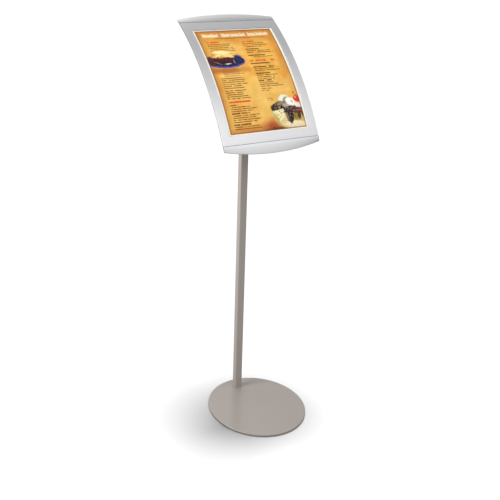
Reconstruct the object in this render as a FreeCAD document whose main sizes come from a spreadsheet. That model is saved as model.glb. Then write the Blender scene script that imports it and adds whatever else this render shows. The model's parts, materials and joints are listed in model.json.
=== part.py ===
# A floor-standing sign stand: a heavy oval base, a rectangular post, and a bowed sign head that
# leans back on a clamped hinge. The head holds a letter-size print behind a clear lens in a silver
# frame, between two brushed end rails.
#
# The origin is the centre of the base's footprint on the floor, +Z is up and the sign faces -Y.
# Head pieces are drawn upright about the hinge pin, and one Placement leans them all back.
# "arc" is a distance measured over the bowed face, up from the face's middle.
import FreeCAD, Part
import math
import os
import re
import Sketcher
from FreeCAD import Placement, Rotation, Vector

SIZES = {
    # Oval base on its mat
    "base_length": 272,
    "base_width": 240,
    "base_thickness": 5,
    "base_edge_round": 1.2,
    "mat_thickness": 1,
    "mat_inset": 3,
    "mat_hole_clearance": 1.5,
    # Post, behind the middle of the base
    "post_setback": 101,
    "post_width": 20,
    "post_depth": 15,
    "post_wall": 1.5,
    "post_corner": 2,
    "socket_depth": 1,
    "socket_clearance": 0.15,
    # Base screw and the block that it pulls on
    "base_screw_radius": 4,
    "base_screw_head_radius": 8,
    "base_screw_length": 24,
    "base_screw_clearance": 0.4,
    "base_screw_key": 5,
    "base_screw_key_depth": 2.6,
    "screw_recess": 0.2,
    "foot_block_height": 30,
    # Hinge at the top of the post
    "pivot_height": 807,
    "pivot_drop": 12,
    "pin_radius": 3,
    "pin_clearance": 0.05,
    "tongue_width": 12,
    "stem_height": 36,
    "shoulder_height": 3,
    "stem_screw_drop": 18,
    "stem_screw_radius": 2,
    "stem_screw_length": 9,
    "stem_screw_key": 2.5,
    "stem_screw_key_depth": 1.3,
    "friction_washer_thickness": 1,
    "friction_washer_radius": 7.2,
    "ear_thickness": 2.5,
    "ear_radius": 9,
    "ear_root_inset": 4,
    "ear_root_bite": 1,
    "bolt_head_radius": 7,
    "bolt_head_height": 3,
    "bolt_neck": 6,
    "bolt_end": 21,
    "bolt_end_chamfer": 0.5,
    "knob_washer_thickness": 1.2,
    "knob_radius": 14,
    "knob_height": 13,
    "knob_hub_height": 3,
    "knob_edge": 1.5,
    "knob_tip_clearance": 0.5,
    "knob_cap_thickness": 2,
    "knob_flute_radius": 5,
    "knob_nut_radius": 5.5,
    "knob_nut_height": 8,
    "knob_flutes": 6,
    # Bowed head
    "head_lean": 42,
    "face_radius": 600,
    "face_standoff": 47,
    "head_width": 250,
    "face_length": 319,
    "rail_end_height": 12.5,
    "rail_middle_height": 26,
    "rail_thickness": 3.7,
    "rail_gap": 0.5,
    "rail_edge_round": 0.7,
    # Layers of the face, front to back
    "frame_thickness": 1,
    "frame_corner": 0.4,
    "window_width": 209.6,
    "window_length": 273,
    "window_drop": 2.3,
    "lens_thickness": 1,
    "lens_lap": 6,
    "print_width": 215.9,
    "print_length": 279.4,
    "print_thickness": 0.3,
    "lift_gap": 0.3,
    "pocket_clearance": 0.5,
    "panel_thickness": 2,
    "flat_seat_gap": 0.03,
    "panel_inset": 1,
    "magnet_radius": 4,
    "magnet_edge": 6.5,
    "magnet_recess": 0.1,
    "magnet_gap": 0.05,
    # Fasteners on the panel
    "plate_width": 62,
    "plate_length": 52,
    "plate_thickness": 2.5,
    "plate_corner": 5,
    "stud_radius": 2,
    "stud_length": 7.5,
    "stud_clearance": 0.25,
    "stud_spacing_across": 46,
    "stud_spacing_up": 36,
    "stud_washer_radius": 4.5,
    "stud_washer_thickness": 0.8,
    "stud_nut_radius": 4.04,
    "stud_nut_height": 3.2,
    "rail_screw_radius": 1.5,
    "rail_screw_bite": 2.7,
    "rail_screw_clearance": 0.2,
    "rail_screw_slot_width": 0.7,
    "rail_screw_slot_depth": 0.8,
    "rail_screw_head_radius": 2.8,
    "rail_screw_head_height": 1.8,
    "rail_screw_edge": 5.5,
    "rail_screw_spacing": 95,
    # How far a cutting shape runs past what it cuts
    "overrun": 1,
}

WORKED = {
    # Heights up the stand
    "plate_top": "mat_thickness + base_thickness",
    "post_foot": "plate_top - socket_depth",
    "post_length": "pivot_height - pivot_drop - shoulder_height - post_foot",
    "bore_width": "post_width - 2 * post_wall",
    "bore_depth": "post_depth - 2 * post_wall",
    "inner_corner": "post_corner - post_wall",
    "base_screw_head_height": "base_screw_head_radius - base_screw_radius",
    "stem_screw_head_height": "stem_screw_radius * 1.1",
    "stem_screw_end": "stem_screw_head_height + stem_screw_length",
    "knob_washer_radius": "pin_radius * 2.1",
    "knob_hub_foot": "knob_radius * 0.62",
    "knob_hub_top": "knob_radius * 0.66",
    "knob_flute_offset": "knob_radius + knob_flute_radius * 0.55",
    # Places across the hinge, from the middle
    "ear_inside": "tongue_width / 2 + friction_washer_thickness",
    "ear_outside": "ear_inside + ear_thickness",
    "knob_seat": "ear_outside + knob_washer_thickness",
    # Radii of the bowed layers about the axis that the face bends round
    "curve_centre": "face_radius - face_standoff",
    "lens_front": "face_radius - frame_thickness",
    "lens_back": "lens_front - lens_thickness",
    "print_front": "lens_back - lift_gap",
    "print_back": "print_front - print_thickness",
    "panel_front": "print_back - lift_gap",
    "panel_back": "panel_front - panel_thickness",
    "spacer_front": "lens_front - lift_gap",
    "rail_front": "panel_front + rail_thickness",
    "plate_back": "panel_back - plate_thickness",
    # Lengths along the bowed face
    "lens_width": "window_width + 2 * lens_lap",
    "lens_length": "window_length + 2 * lens_lap",
    "pocket_width": "lens_width + 2 * pocket_clearance",
    "pocket_length": "lens_length + 2 * pocket_clearance",
    "spacer_width": "head_width - 2 * panel_inset",
    "rail_joint": "face_length / 2 + rail_gap",
    "rail_outer_end": "rail_joint + rail_end_height",
    "rail_outer_middle": "rail_joint + rail_middle_height",
    "panel_end": "rail_outer_end - panel_inset",
    "rail_rise": "rail_middle_height - rail_end_height",
    "rail_arch": "(head_width ^ 2 / 4 + rail_rise ^ 2) / (2 * rail_rise)",
    "rail_screw_arc": "rail_joint + rail_screw_edge",
    "magnet_across": "head_width / 2 - magnet_edge",
    "magnet_up": "face_length / 2 - magnet_edge - panel_inset",
    "ear_root": "curve_centre - plate_back",
    "ear_root_reach": "plate_length / 2 - ear_root_inset",
}

doc = FreeCAD.newDocument("SignStand")
sizes = doc.addObject("Spreadsheet::Sheet", "Sizes")
for row, (alias, number) in enumerate(SIZES.items(), start=1):
    sizes.set(f"A{row}", alias)
    sizes.set(f"B{row}", str(number))
    sizes.setAlias(f"B{row}", alias)


def formula(text):
    """The same formula with the sheet of each size named: post_width becomes Sizes.post_width."""
    sheets = {**dict.fromkeys(SIZES, "Sizes."), **dict.fromkeys(WORKED, "Worked.")}
    return re.sub(r"[a-z][a-z_]*", lambda word: sheets.get(word[0], "") + word[0], str(text))


worked = doc.addObject("Spreadsheet::Sheet", "Worked")
for row, (alias, text) in enumerate(WORKED.items(), start=1):
    worked.set(f"A{row}", alias)
    worked.set(f"B{row}", "=" + formula(text))
    worked.setAlias(f"B{row}", alias)
doc.recompute()


def value(text):
    """What a formula comes to at the present sizes."""
    return float(worked.evalExpression(formula(text)))


def bind(thing, **formulas):
    for name, text in formulas.items():
        thing.setExpression(name, formula(text))
    return thing


def turn_of(arc):
    """The angle in degrees that an arc over the face turns through."""
    return f"(({arc}) / face_radius * 180 / pi)"


# ---- Placing ----

def place(thing, x="0", y="0", z="0", lean="0"):
    """Puts a piece's own frame at x, y, z, leaned back about the axis across the stand."""
    thing.Placement = Placement(Vector(), Rotation(Vector(1, 0, 0), 1))
    for axis, text in {"x": x, "y": y, "z": z}.items():
        thing.setExpression(f"Placement.Base.{axis}", formula(text))
    thing.setExpression("Placement.Rotation.Angle", formula(f"-({lean})"))
    return thing


def place_on_head(thing):
    return place(thing, y="post_setback", z="pivot_height", lean="head_lean")


def place_radially(thing, x, arc, radius):
    """Stands a piece at this arc with its own +Z square to the bowed face, pointing out of its front."""
    turn = turn_of(arc)
    return place(
        thing,
        x=x,
        y=f"curve_centre - ({radius}) * cos({turn})",
        z=f"({radius}) * sin({turn})",
        lean=f"{turn} - 90",
    )


def place_across(thing, x):
    """Turns a piece's own +Z to point along +X, on the hinge pin."""
    thing.Placement = Placement(Vector(), Rotation(Vector(0, 1, 0), 90))
    thing.setExpression("Placement.Base.x", formula(x))
    return thing


# ---- Bodies and sketches ----

def body(label):
    made = doc.addObject("PartDesign::Body", label)
    made.Label = label
    return made


def sketch(owner, plane, name):
    made = owner.newObject("Sketcher::SketchObject", name)
    plane = next(feature for feature in owner.Origin.OriginFeatures if feature.Role == plane)
    made.AttachmentSupport = [(plane, "")]
    made.MapMode = "FlatFace"
    return made


def constrain(drawing, text, kind, *where):
    """Adds a sketch dimension that follows a formula."""
    index = drawing.addConstraint(Sketcher.Constraint(kind, *where, value(text)))
    drawing.setExpression(f"Constraints[{index}]", formula(text))


def pin(drawing, curve, point, across, up):
    constrain(drawing, across, "DistanceX", -1, 1, curve, point)
    constrain(drawing, up, "DistanceY", -1, 1, curve, point)


def outline(drawing, corners):
    """A closed polygon with each corner given as two formulas."""
    first = drawing.GeometryCount
    points = [Vector(value(across), value(up), 0) for across, up in corners]
    for start, end in zip(points, points[1:] + points[:1]):
        drawing.addGeometry(Part.LineSegment(start, end))
    for number, (across, up) in enumerate(corners):
        following = first + (number + 1) % len(corners)
        drawing.addConstraint(Sketcher.Constraint("Coincident", first + number, 2, following, 1))
        pin(drawing, first + number, 1, across, up)


def rectangle(drawing, width, length, across="0", up="0"):
    left, right = f"{across} - ({width}) / 2", f"{across} + ({width}) / 2"
    low, high = f"{up} - ({length}) / 2", f"{up} + ({length}) / 2"
    outline(drawing, [(left, low), (right, low), (right, high), (left, high)])


def circle(drawing, radius, across="0", up="0"):
    centre = Vector(value(across), value(up), 0)
    curve = drawing.addGeometry(Part.Circle(centre, Vector(0, 0, 1), value(radius)))
    constrain(drawing, radius, "Radius", curve)
    pin(drawing, curve, 3, across, up)


def oval(drawing, width, length, up):
    """An ellipse whose long axis runs up the sketch."""
    centre = Vector(0, value(up), 0)
    top = centre + Vector(0, value(length) / 2, 0)
    side = centre + Vector(value(width) / 2, 0, 0)
    curve = drawing.addGeometry(Part.Ellipse(top, side, centre))
    drawing.exposeInternalGeometry(curve)
    long_axis, short_axis = curve + 1, curve + 2
    pin(drawing, curve, 3, "0", up)
    drawing.addConstraint(Sketcher.Constraint("Vertical", long_axis))
    constrain(drawing, length, "Distance", long_axis)
    constrain(drawing, width, "Distance", short_axis)


def bowed_outline(drawing, inside, outside, low, high):
    """The section of a bowed sheet: two arcs about the face's axis, joined by lines square to them."""
    centre = Vector(value("curve_centre"), 0, 0)
    ends = [math.pi - math.radians(value(turn_of(arc))) for arc in (high, low)]
    axis = Vector(0, 0, 1)

    def at(radius, angle):
        return centre + Vector(math.cos(angle), math.sin(angle), 0) * value(radius)

    outer = drawing.addGeometry(Part.ArcOfCircle(Part.Circle(centre, axis, value(outside)), *ends))
    inner = drawing.addGeometry(Part.ArcOfCircle(Part.Circle(centre, axis, value(inside)), *ends))
    for arc, angle, point in ((high, ends[0], 1), (low, ends[1], 2)):
        line = drawing.addGeometry(Part.LineSegment(at(inside, angle), at(outside, angle)))
        drawing.addConstraint(Sketcher.Constraint("Coincident", line, 1, inner, point))
        drawing.addConstraint(Sketcher.Constraint("Coincident", line, 2, outer, point))
        drawing.addConstraint(Sketcher.Constraint("PointOnObject", inner, 3, line))
        constrain(drawing, f"({outside}) * sin({turn_of(arc)})", "DistanceY", -1, 1, outer, point)
    drawing.addConstraint(Sketcher.Constraint("Coincident", inner, 3, outer, 3))
    pin(drawing, outer, 3, "curve_centre", "0")
    constrain(drawing, outside, "Radius", outer)
    constrain(drawing, inside, "Radius", inner)


def pad(owner, drawing, length, both_ways=False):
    made = owner.newObject("PartDesign::Pad", drawing.Name + "_pad")
    made.Profile = drawing
    made.SideType = "Symmetric" if both_ways else "One side"
    return bind(made, Length=length)


def removes(made):
    """Recomputes, and stops if a cut took nothing away."""
    doc.recompute()
    if made.Shape.Volume >= made.BaseFeature.Shape.Volume - 1e-6:
        raise RuntimeError(made.Name + " cuts nothing")
    return made


def pocket(owner, drawing, depth, both_ways=False, reverse=False):
    doc.recompute()
    made = owner.newObject("PartDesign::Pocket", drawing.Name + "_pocket")
    made.Profile = drawing
    made.SideType = "Symmetric" if both_ways else "One side"
    made.Reversed = reverse
    bind(made, Length=depth)
    return removes(made)


def revolve(owner, drawing, kind="Revolution"):
    """Turns a drawing about its own upright axis."""
    made = owner.newObject("PartDesign::" + kind, drawing.Name + "_" + kind.lower())
    made.Profile = drawing
    made.ReferenceAxis = (drawing, ["V_Axis"])
    made.Angle = 360
    return removes(made) if kind == "Groove" else made


def bore(owner, name, radius, length):
    made = owner.newObject("PartDesign::SubtractiveCylinder", name)
    return bind(made, Radius=radius, Height=length)


def round_edges(owner, name, radius, chosen):
    """Fillets the edges of the body's last feature that the test picks."""
    doc.recompute()
    tip = owner.Tip
    edges = [f"Edge{n}" for n, edge in enumerate(tip.Shape.Edges, start=1) if chosen(edge)]
    if not edges:
        raise RuntimeError(name + " finds no edge")
    made = owner.newObject("PartDesign::Fillet", name)
    made.Base = (tip, edges)
    bind(made, Radius=radius)
    doc.recompute()
    return made


def upright(edge):
    """Whether an edge is a straight line along the body's own Z."""
    return isinstance(edge.Curve, Part.Line) and abs(edge.Curve.Direction.z) > 0.999


def solid(kind, name, **formulas):
    return bind(doc.addObject("Part::" + kind, name), **formulas)


def cut(name, base, tool):
    made = doc.addObject("Part::Cut", name)
    made.Base, made.Tool = base, tool
    return made


def fuse(name, *pieces):
    made = doc.addObject("Part::MultiFuse", name)
    made.Shapes = list(pieces)
    return made


def group(label, pieces):
    """Separate solids that share one node."""
    made = doc.addObject("Part::Compound", label)
    made.Label = label
    made.Links = pieces
    return made


# ---- Base ----

def base_mat():
    """Thin rubber mat under the base, with a hole over the screw's head."""
    made = body("base_mat")
    edge = sketch(made, "XY_Plane", "mat_edge")
    oval(edge, "base_width - 2 * mat_inset", "base_length - 2 * mat_inset", "-post_setback")
    circle(edge, "base_screw_head_radius + mat_hole_clearance")
    pad(made, edge, "mat_thickness")
    return place(made, y="post_setback")


def base_plate():
    """Steel oval with a shallow socket for the post and a countersunk hole under it."""
    made = body("base_plate")
    edge = sketch(made, "XY_Plane", "plate_edge")
    oval(edge, "base_width", "base_length", "-post_setback")
    pad(made, edge, "base_thickness")
    round_edges(
        made,
        "top_edge",
        "base_edge_round",
        lambda found: found.BoundBox.ZMin > value("base_thickness") / 2,
    )
    socket = sketch(made, "XY_Plane", "post_socket")
    socket.AttachmentOffset = Placement()
    socket.setExpression("AttachmentOffset.Base.z", formula("base_thickness - socket_depth"))
    rectangle(socket, "post_width + 2 * socket_clearance", "post_depth + 2 * socket_clearance")
    pocket(made, socket, "socket_depth + overrun", reverse=True)
    hole = sketch(made, "XZ_Plane", "screw_hole")
    clear = "base_screw_radius + base_screw_clearance"
    flare = "base_screw_head_radius + base_screw_clearance"
    outline(hole, [
        ("0", "-overrun"),
        (flare, "-overrun"),
        (flare, "0"),
        (clear, "base_screw_head_height"),
        (clear, "base_thickness + overrun"),
        ("0", "base_thickness + overrun"),
    ])
    revolve(made, hole, "Groove")
    return place(made, y="post_setback", z="mat_thickness")


def base_screw():
    """Countersunk socket screw that pulls the post down from under the base."""
    made = body("base_screw")
    side = sketch(made, "XZ_Plane", "screw_side")
    outline(side, [
        ("0", "screw_recess"),
        ("base_screw_head_radius - screw_recess", "screw_recess"),
        ("base_screw_radius", "base_screw_head_height"),
        ("base_screw_radius", "base_screw_length"),
        ("0", "base_screw_length"),
    ])
    revolve(made, side)
    key_socket(made, "base_screw_key", "base_screw_key_depth")
    return place(made, y="post_setback", z="mat_thickness")


def key_socket(owner, across_flats, depth):
    """Hexagon socket in a screw's head, whose outer face is on the body's own floor."""
    drawing = sketch(owner, "XY_Plane", owner.Label + "_key")
    reach = f"({across_flats}) / sqrt(3)"
    outline(drawing, [(f"{reach} * cos({60 * n})", f"{reach} * sin({60 * n})") for n in range(6)])
    pocket(owner, drawing, depth, reverse=True)


def foot_block():
    """Steel block welded in the foot of the post, threaded for the base screw."""
    made = body("foot_block")
    section = sketch(made, "XY_Plane", "block_section")
    rectangle(section, "bore_width", "bore_depth")
    circle(section, "base_screw_radius")
    pad(made, section, "foot_block_height")
    round_edges(made, "block_corners", "inner_corner", upright)
    return place(made, y="post_setback", z="post_foot")


# ---- Post ----

def post_tube():
    """Rectangular steel tube, open at both ends, with a screw hole in its back near the top."""
    made = body("post_tube")
    for name, width, depth, corner in (
        ("outside", "post_width", "post_depth", "post_corner"),
        ("inside", "bore_width", "bore_depth", "inner_corner"),
    ):
        section = sketch(made, "XY_Plane", name)
        rectangle(section, width, depth)
        if name == "outside":
            pad(made, section, "post_length")
        else:
            pocket(made, section, "post_length", reverse=True)
        half_width, half_depth = value(width) / 2, value(depth) / 2
        round_edges(
            made,
            name + "_corners",
            corner,
            lambda edge: upright(edge)
            and abs(abs(edge.Vertexes[0].X) - half_width) < 1e-3
            and abs(abs(edge.Vertexes[0].Y) - half_depth) < 1e-3,
        )
    hole = bore(made, "stem_screw_hole", "stem_screw_radius", "post_wall + 2 * overrun")
    place(
        hole,
        y="post_depth / 2 - post_wall - overrun",
        z="post_length + shoulder_height - stem_screw_drop",
        lean="90",
    )
    return place(made, y="post_setback", z="post_foot")


def post_head():
    """Plug in the top of the post: a stem in the tube, a shoulder over its end, and the hinge tongue."""
    made = body("post_head")
    low = "-pivot_drop - shoulder_height"
    shoulder = sketch(made, "XZ_Plane", "shoulder")
    rectangle(shoulder, "post_width", "shoulder_height", up="-pivot_drop - shoulder_height / 2")
    pad(made, shoulder, "post_depth", both_ways=True)
    round_edges(made, "shoulder_corners", "post_corner", upright)
    stem = sketch(made, "XZ_Plane", "stem")
    rectangle(stem, "bore_width - 2 * inner_corner", "stem_height", up=f"{low} - stem_height / 2")
    pad(made, stem, "bore_depth", both_ways=True)
    ribs = sketch(made, "XZ_Plane", "stem_ribs")
    rectangle(ribs, "bore_width", "stem_height", up=f"{low} - stem_height / 2")
    pad(made, ribs, "bore_depth - 2 * inner_corner", both_ways=True)
    tongue = sketch(made, "YZ_Plane", "tongue")
    rectangle(tongue, "post_depth", "pivot_drop", up="-pivot_drop / 2")
    pad(made, tongue, "tongue_width", both_ways=True)
    top = sketch(made, "YZ_Plane", "tongue_top")
    circle(top, "post_depth / 2")
    pad(made, top, "tongue_width", both_ways=True)
    pin_hole = sketch(made, "YZ_Plane", "pin_hole")
    circle(pin_hole, "pin_radius + pin_clearance")
    pocket(made, pin_hole, "tongue_width + overrun", both_ways=True)
    hole = bore(made, "stem_thread", "stem_screw_radius", "stem_screw_length")
    place(hole, y="post_depth / 2 - stem_screw_length", z="-pivot_drop - stem_screw_drop", lean="90")
    doc.recompute()
    return place(made, y="post_setback", z="pivot_height")


def stem_screw():
    """Button-head screw through the back of the post into the plug."""
    made = body("stem_screw")
    side = sketch(made, "XZ_Plane", "stem_screw_side")
    outline(side, [
        ("0", "0"),
        ("stem_screw_radius * 1.1", "0"),
        ("stem_screw_radius * 1.7", "stem_screw_head_height * 0.32"),
        ("stem_screw_radius * 1.9", "stem_screw_head_height"),
        ("stem_screw_radius", "stem_screw_head_height"),
        ("stem_screw_radius", "stem_screw_end"),
        ("0", "stem_screw_end"),
    ])
    revolve(made, side)
    key_socket(made, "stem_screw_key", "stem_screw_key_depth")
    out = "post_setback + post_depth / 2 + stem_screw_head_height"
    return place(made, y=out, z="pivot_height - pivot_drop - stem_screw_drop", lean="-90")


# ---- Hinge ----

def tilt_bracket():
    """Bowed plate on the back of the panel with two ears that straddle the tongue."""
    made = body("tilt_bracket")
    ears = sketch(made, "YZ_Plane", "ear_side")
    outline(ears, [
        ("0", "-ear_radius"),
        ("ear_root * 0.55", "-ear_radius"),
        ("ear_root - ear_root_bite", "-ear_root_reach"),
        ("ear_root - ear_root_bite", "ear_root_reach"),
        ("ear_root * 0.55", "ear_radius"),
        ("0", "ear_radius"),
    ])
    pad(made, ears, "2 * ear_outside", both_ways=True)
    end = sketch(made, "YZ_Plane", "ear_end")
    circle(end, "ear_radius")
    pad(made, end, "2 * ear_outside", both_ways=True)
    slot = sketch(made, "YZ_Plane", "ear_slot")
    rectangle(slot, "face_standoff + 2 * ear_radius", "2 * plate_length", across="-face_standoff / 2")
    pocket(made, slot, "2 * ear_inside", both_ways=True)
    plate = sketch(made, "YZ_Plane", "plate_side")
    bowed_outline(plate, "plate_back", "panel_back", "-plate_length / 2", "plate_length / 2")
    pad(made, plate, "plate_width", both_ways=True)
    pin_hole = sketch(made, "YZ_Plane", "ear_holes")
    circle(pin_hole, "pin_radius")
    pocket(made, pin_hole, "2 * ear_outside + overrun", both_ways=True)
    neck = sketch(made, "YZ_Plane", "neck_hole")
    neck.setExpression("AttachmentOffset.Base.z", formula("-ear_outside"))
    rectangle(neck, "bolt_neck", "bolt_neck")
    pocket(made, neck, "ear_thickness", reverse=True)
    for number, (x, arc) in enumerate(stud_places(), start=1):
        hole = bore(
            made, f"stud_hole_{number}", "stud_radius + stud_clearance", "plate_thickness + 2 * overrun"
        )
        place_radially(hole, x, arc, "plate_back - overrun")
    round_edges(
        made,
        "plate_corners",
        "plate_corner",
        lambda edge: edge.Length < value("plate_thickness") * 1.01
        and abs(abs(edge.CenterOfMass.x) - value("plate_width") / 2) < 1e-3,
    )
    return place_on_head(made)


def pivot_bolt():
    """Carriage bolt whose square neck sits in the left ear; the knob runs on its other end."""
    made = body("pivot_bolt")
    side = sketch(made, "XZ_Plane", "bolt_side")
    reach = "ear_outside + bolt_end"
    outline(side, [
        ("0", "-bolt_head_height"),
        ("bolt_head_radius * 0.55", "-bolt_head_height * 0.85"),
        ("bolt_head_radius * 0.88", "-bolt_head_height * 0.45"),
        ("bolt_head_radius", "0"),
        ("pin_radius", "0"),
        ("pin_radius", f"{reach} - bolt_end_chamfer"),
        ("pin_radius - bolt_end_chamfer", reach),
        ("0", reach),
    ])
    revolve(made, side)
    neck = sketch(made, "XY_Plane", "bolt_neck_section")
    rectangle(neck, "bolt_neck", "bolt_neck")
    pad(made, neck, "ear_thickness")
    return on_pin(made, "-ear_outside")


def on_pin(made, x):
    """Turns a body's own +Z along the hinge pin, leaned back with the head."""
    lean = Rotation(Vector(1, 0, 0), -value("head_lean"))
    made.Placement = Placement(Vector(), lean * Rotation(Vector(0, 1, 0), 90))
    base = {"x": x, "y": "post_setback", "z": "pivot_height"}
    for axis, text in base.items():
        made.setExpression(f"Placement.Base.{axis}", formula(text))
    return made


def ring(label, outside, inside, height):
    """A flat washer standing on its own floor."""
    made = body(label)
    section = sketch(made, "XY_Plane", label + "_section")
    circle(section, outside)
    circle(section, inside)
    pad(made, section, height)
    return made


def friction_washers():
    """Two fibre washers that grip the tongue between the ears."""
    pair = []
    for side, x in (("left", "-ear_inside"), ("right", "tongue_width / 2")):
        outer = solid("Cylinder", side + "_washer", Radius="friction_washer_radius",
                      Height="friction_washer_thickness")
        inner = solid("Cylinder", side + "_washer_hole", Radius="pin_radius",
                      Height="friction_washer_thickness")
        pair.append(place_across(cut(side + "_friction_washer", outer, inner), x))
    return place_on_head(group("friction_washers", pair))


def knob_washer():
    """Steel washer under the knob."""
    washer = ring("knob_washer", "knob_washer_radius", "pin_radius", "knob_washer_thickness")
    return on_pin(washer, "ear_outside")


def clamp_knob():
    """Fluted plastic knob that clamps the hinge."""
    made = body("clamp_knob")
    side = sketch(made, "XZ_Plane", "knob_side")
    outline(side, [
        ("knob_nut_radius", "0"),
        ("knob_hub_foot", "0"),
        ("knob_hub_top", "knob_hub_height"),
        ("knob_radius - knob_edge", "knob_hub_height"),
        ("knob_radius", "knob_hub_height + knob_edge"),
        ("knob_radius", "knob_height - knob_edge"),
        ("knob_radius - knob_edge", "knob_height"),
        ("0", "knob_height"),
        ("0", "knob_nut_height"),
        ("knob_nut_radius", "knob_nut_height"),
    ])
    revolve(made, side)
    for number in range(SIZES["knob_flutes"]):
        turn = 360 * number / SIZES["knob_flutes"]
        flute = bore(made, f"flute_{number + 1}", "knob_flute_radius", "knob_height + 2 * overrun")
        place(
            flute,
            x=f"knob_flute_offset * cos({turn})",
            y=f"knob_flute_offset * sin({turn})",
            z="-overrun",
        )
    tip_hole = bore(
        made, "bolt_tip_hole", "pin_radius + knob_tip_clearance", "knob_height - knob_cap_thickness"
    )
    tip_hole.Placement = Placement()
    return on_pin(made, "knob_seat")


def knob_nut():
    """Brass nut moulded into the knob."""
    return on_pin(ring("knob_nut", "knob_nut_radius", "pin_radius + pin_clearance", "knob_nut_height"),
                  "knob_seat")


# ---- Bowed head ----

def bowed_sheet(label, inside, outside, low, high, width):
    made = body(label)
    section = sketch(made, "YZ_Plane", label + "_side")
    bowed_outline(section, inside, outside, low, high)
    pad(made, section, width, both_ways=True)
    return made


def bowed_window(owner, width, length):
    """Cuts an opening centred on the window through a bowed sheet."""
    opening = sketch(owner, "YZ_Plane", owner.Label + "_window")
    middle = "-window_drop"
    low, high = f"{middle} - ({length}) / 2", f"{middle} + ({length}) / 2"
    bowed_outline(opening, "panel_back - overrun", "face_radius + overrun", low, high)
    pocket(owner, opening, width, both_ways=True)


def stud_places():
    return [
        (f"{across} * stud_spacing_across / 2", f"{up} * stud_spacing_up / 2")
        for across in (-1, 1)
        for up in (-1, 1)
    ]


def rail_screw_places():
    return [
        (f"{across} * rail_screw_spacing", f"{end} * rail_screw_arc")
        for end in (-1, 1)
        for across in (-1, 0, 1)
    ]


def magnet_places():
    return [
        (f"{across} * magnet_across", f"{up} * magnet_up")
        for across in (-1, 1)
        for up in (-1, -0.34, 0.34, 1)
    ]


def back_panel():
    """Bowed aluminium sheet that carries everything on the head."""
    made = bowed_sheet(
        "back_panel", "panel_back", "panel_front", "-panel_end", "panel_end", "spacer_width"
    )
    for number, (x, arc) in enumerate(rail_screw_places(), start=1):
        hole = bore(
            made,
            f"rail_screw_hole_{number}",
            "rail_screw_radius + rail_screw_clearance",
            "panel_thickness + 2 * overrun",
        )
        place_radially(hole, x, arc, "panel_back - overrun")
    return place_on_head(made)


def spacer_frame():
    """Plastic frame round the print, with a seat for each magnet."""
    made = bowed_sheet(
        "spacer_frame",
        "panel_front",
        "spacer_front",
        "-face_length / 2 + panel_inset",
        "face_length / 2 - panel_inset",
        "spacer_width",
    )
    bowed_window(made, "pocket_width", "pocket_length")
    for number, (x, arc) in enumerate(magnet_places(), start=1):
        seat = bore(
            made, f"magnet_seat_{number}", "magnet_radius", "spacer_front - panel_front + 2 * overrun"
        )
        place_radially(seat, x, arc, "panel_front - overrun")
    return place_on_head(made)


def magnets():
    """Disc magnets that hold the steel frame down."""
    discs = []
    for number, (x, arc) in enumerate(magnet_places(), start=1):
        disc = solid("Cylinder", f"magnet_{number}", Radius="magnet_radius",
                     Height="spacer_front - panel_front - magnet_gap - magnet_recess")
        discs.append(place_radially(disc, x, arc, "panel_front + magnet_gap"))
    return place_on_head(group("magnets", discs))


def face_frame():
    """Silver steel frame with the window that shows the print."""
    made = bowed_sheet(
        "face_frame", "lens_front", "face_radius", "-face_length / 2", "face_length / 2", "head_width"
    )
    bowed_window(made, "window_width", "window_length")
    round_edges(
        made,
        "front_edges",
        "frame_corner",
        lambda edge: all(on_front(point) for point in edge.discretize(5)),
    )
    return place_on_head(made)


def on_front(point, radius="face_radius"):
    """Whether a point of a head body is on the bowed surface of this radius."""
    return abs(math.hypot(point.y - value("curve_centre"), point.z) - value(radius)) < 1e-3


def clear_lens():
    """Clear sheet bonded behind the frame's window."""
    half = "lens_length / 2"
    made = bowed_sheet(
        "clear_lens",
        "lens_back",
        "lens_front",
        f"-window_drop - {half}",
        f"-window_drop + {half}",
        "lens_width",
    )
    return place_on_head(made)


def print_sheet():
    """Letter-size print."""
    half = "print_length / 2"
    made = bowed_sheet(
        "print_sheet",
        "print_back",
        "print_front",
        f"-window_drop - {half}",
        f"-window_drop + {half}",
        "print_width",
    )
    return place_on_head(made)


def end_rail(label, end):
    """Brushed rail with a straight inner edge and an arched outer edge; end is 1 at the top, -1 below."""
    arcs = sorted((end * value("rail_joint"), end * value("rail_outer_middle")))
    names = [f"{end} * rail_joint", f"{end} * rail_outer_middle"]
    low, high = names if value(names[0]) == arcs[0] else names[::-1]
    bar = bowed_sheet(label + "_bar", "panel_front", "rail_front", low, high, "head_width")
    # The arched edge is part of one large circle, whose centre is far down the face.
    disc = solid("Cylinder", label + "_arch", Radius="rail_arch", Height="4 * rail_thickness")
    turn = turn_of(f"{end} * rail_outer_middle")
    depth = "panel_front - rail_thickness"
    place(
        disc,
        y=f"curve_centre - ({depth}) * cos({turn}) + {end} * rail_arch * -sin({turn})",
        z=f"({depth}) * sin({turn}) - {end} * rail_arch * cos({turn})",
        lean=f"{turn} - 90",
    )
    arched = doc.addObject("Part::MultiCommon", label + "_arched")
    arched.Shapes = [bar, disc]
    holes = []
    for number, (x, arc) in enumerate(rail_screw_places(), start=1):
        if arc.startswith(f"{end} "):
            hole = solid("Cylinder", f"{label}_hole_{number}", Radius="rail_screw_radius",
                         Height="rail_screw_bite + overrun")
            holes.append(place_radially(hole, x, arc, "panel_front - overrun"))
    tapped = cut(label + "_tapped", arched, fuse(label + "_holes", *holes))
    doc.recompute()
    made = doc.addObject("Part::Fillet", label)
    made.Label = label
    made.Base = tapped
    width = value("rail_edge_round")
    made.Edges = [
        (number, width, width)
        for number, edge in enumerate(tapped.Shape.Edges, start=1)
        if all(on_front(point, "rail_front") for point in edge.discretize(5))
    ]
    return place_on_head(made)


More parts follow.
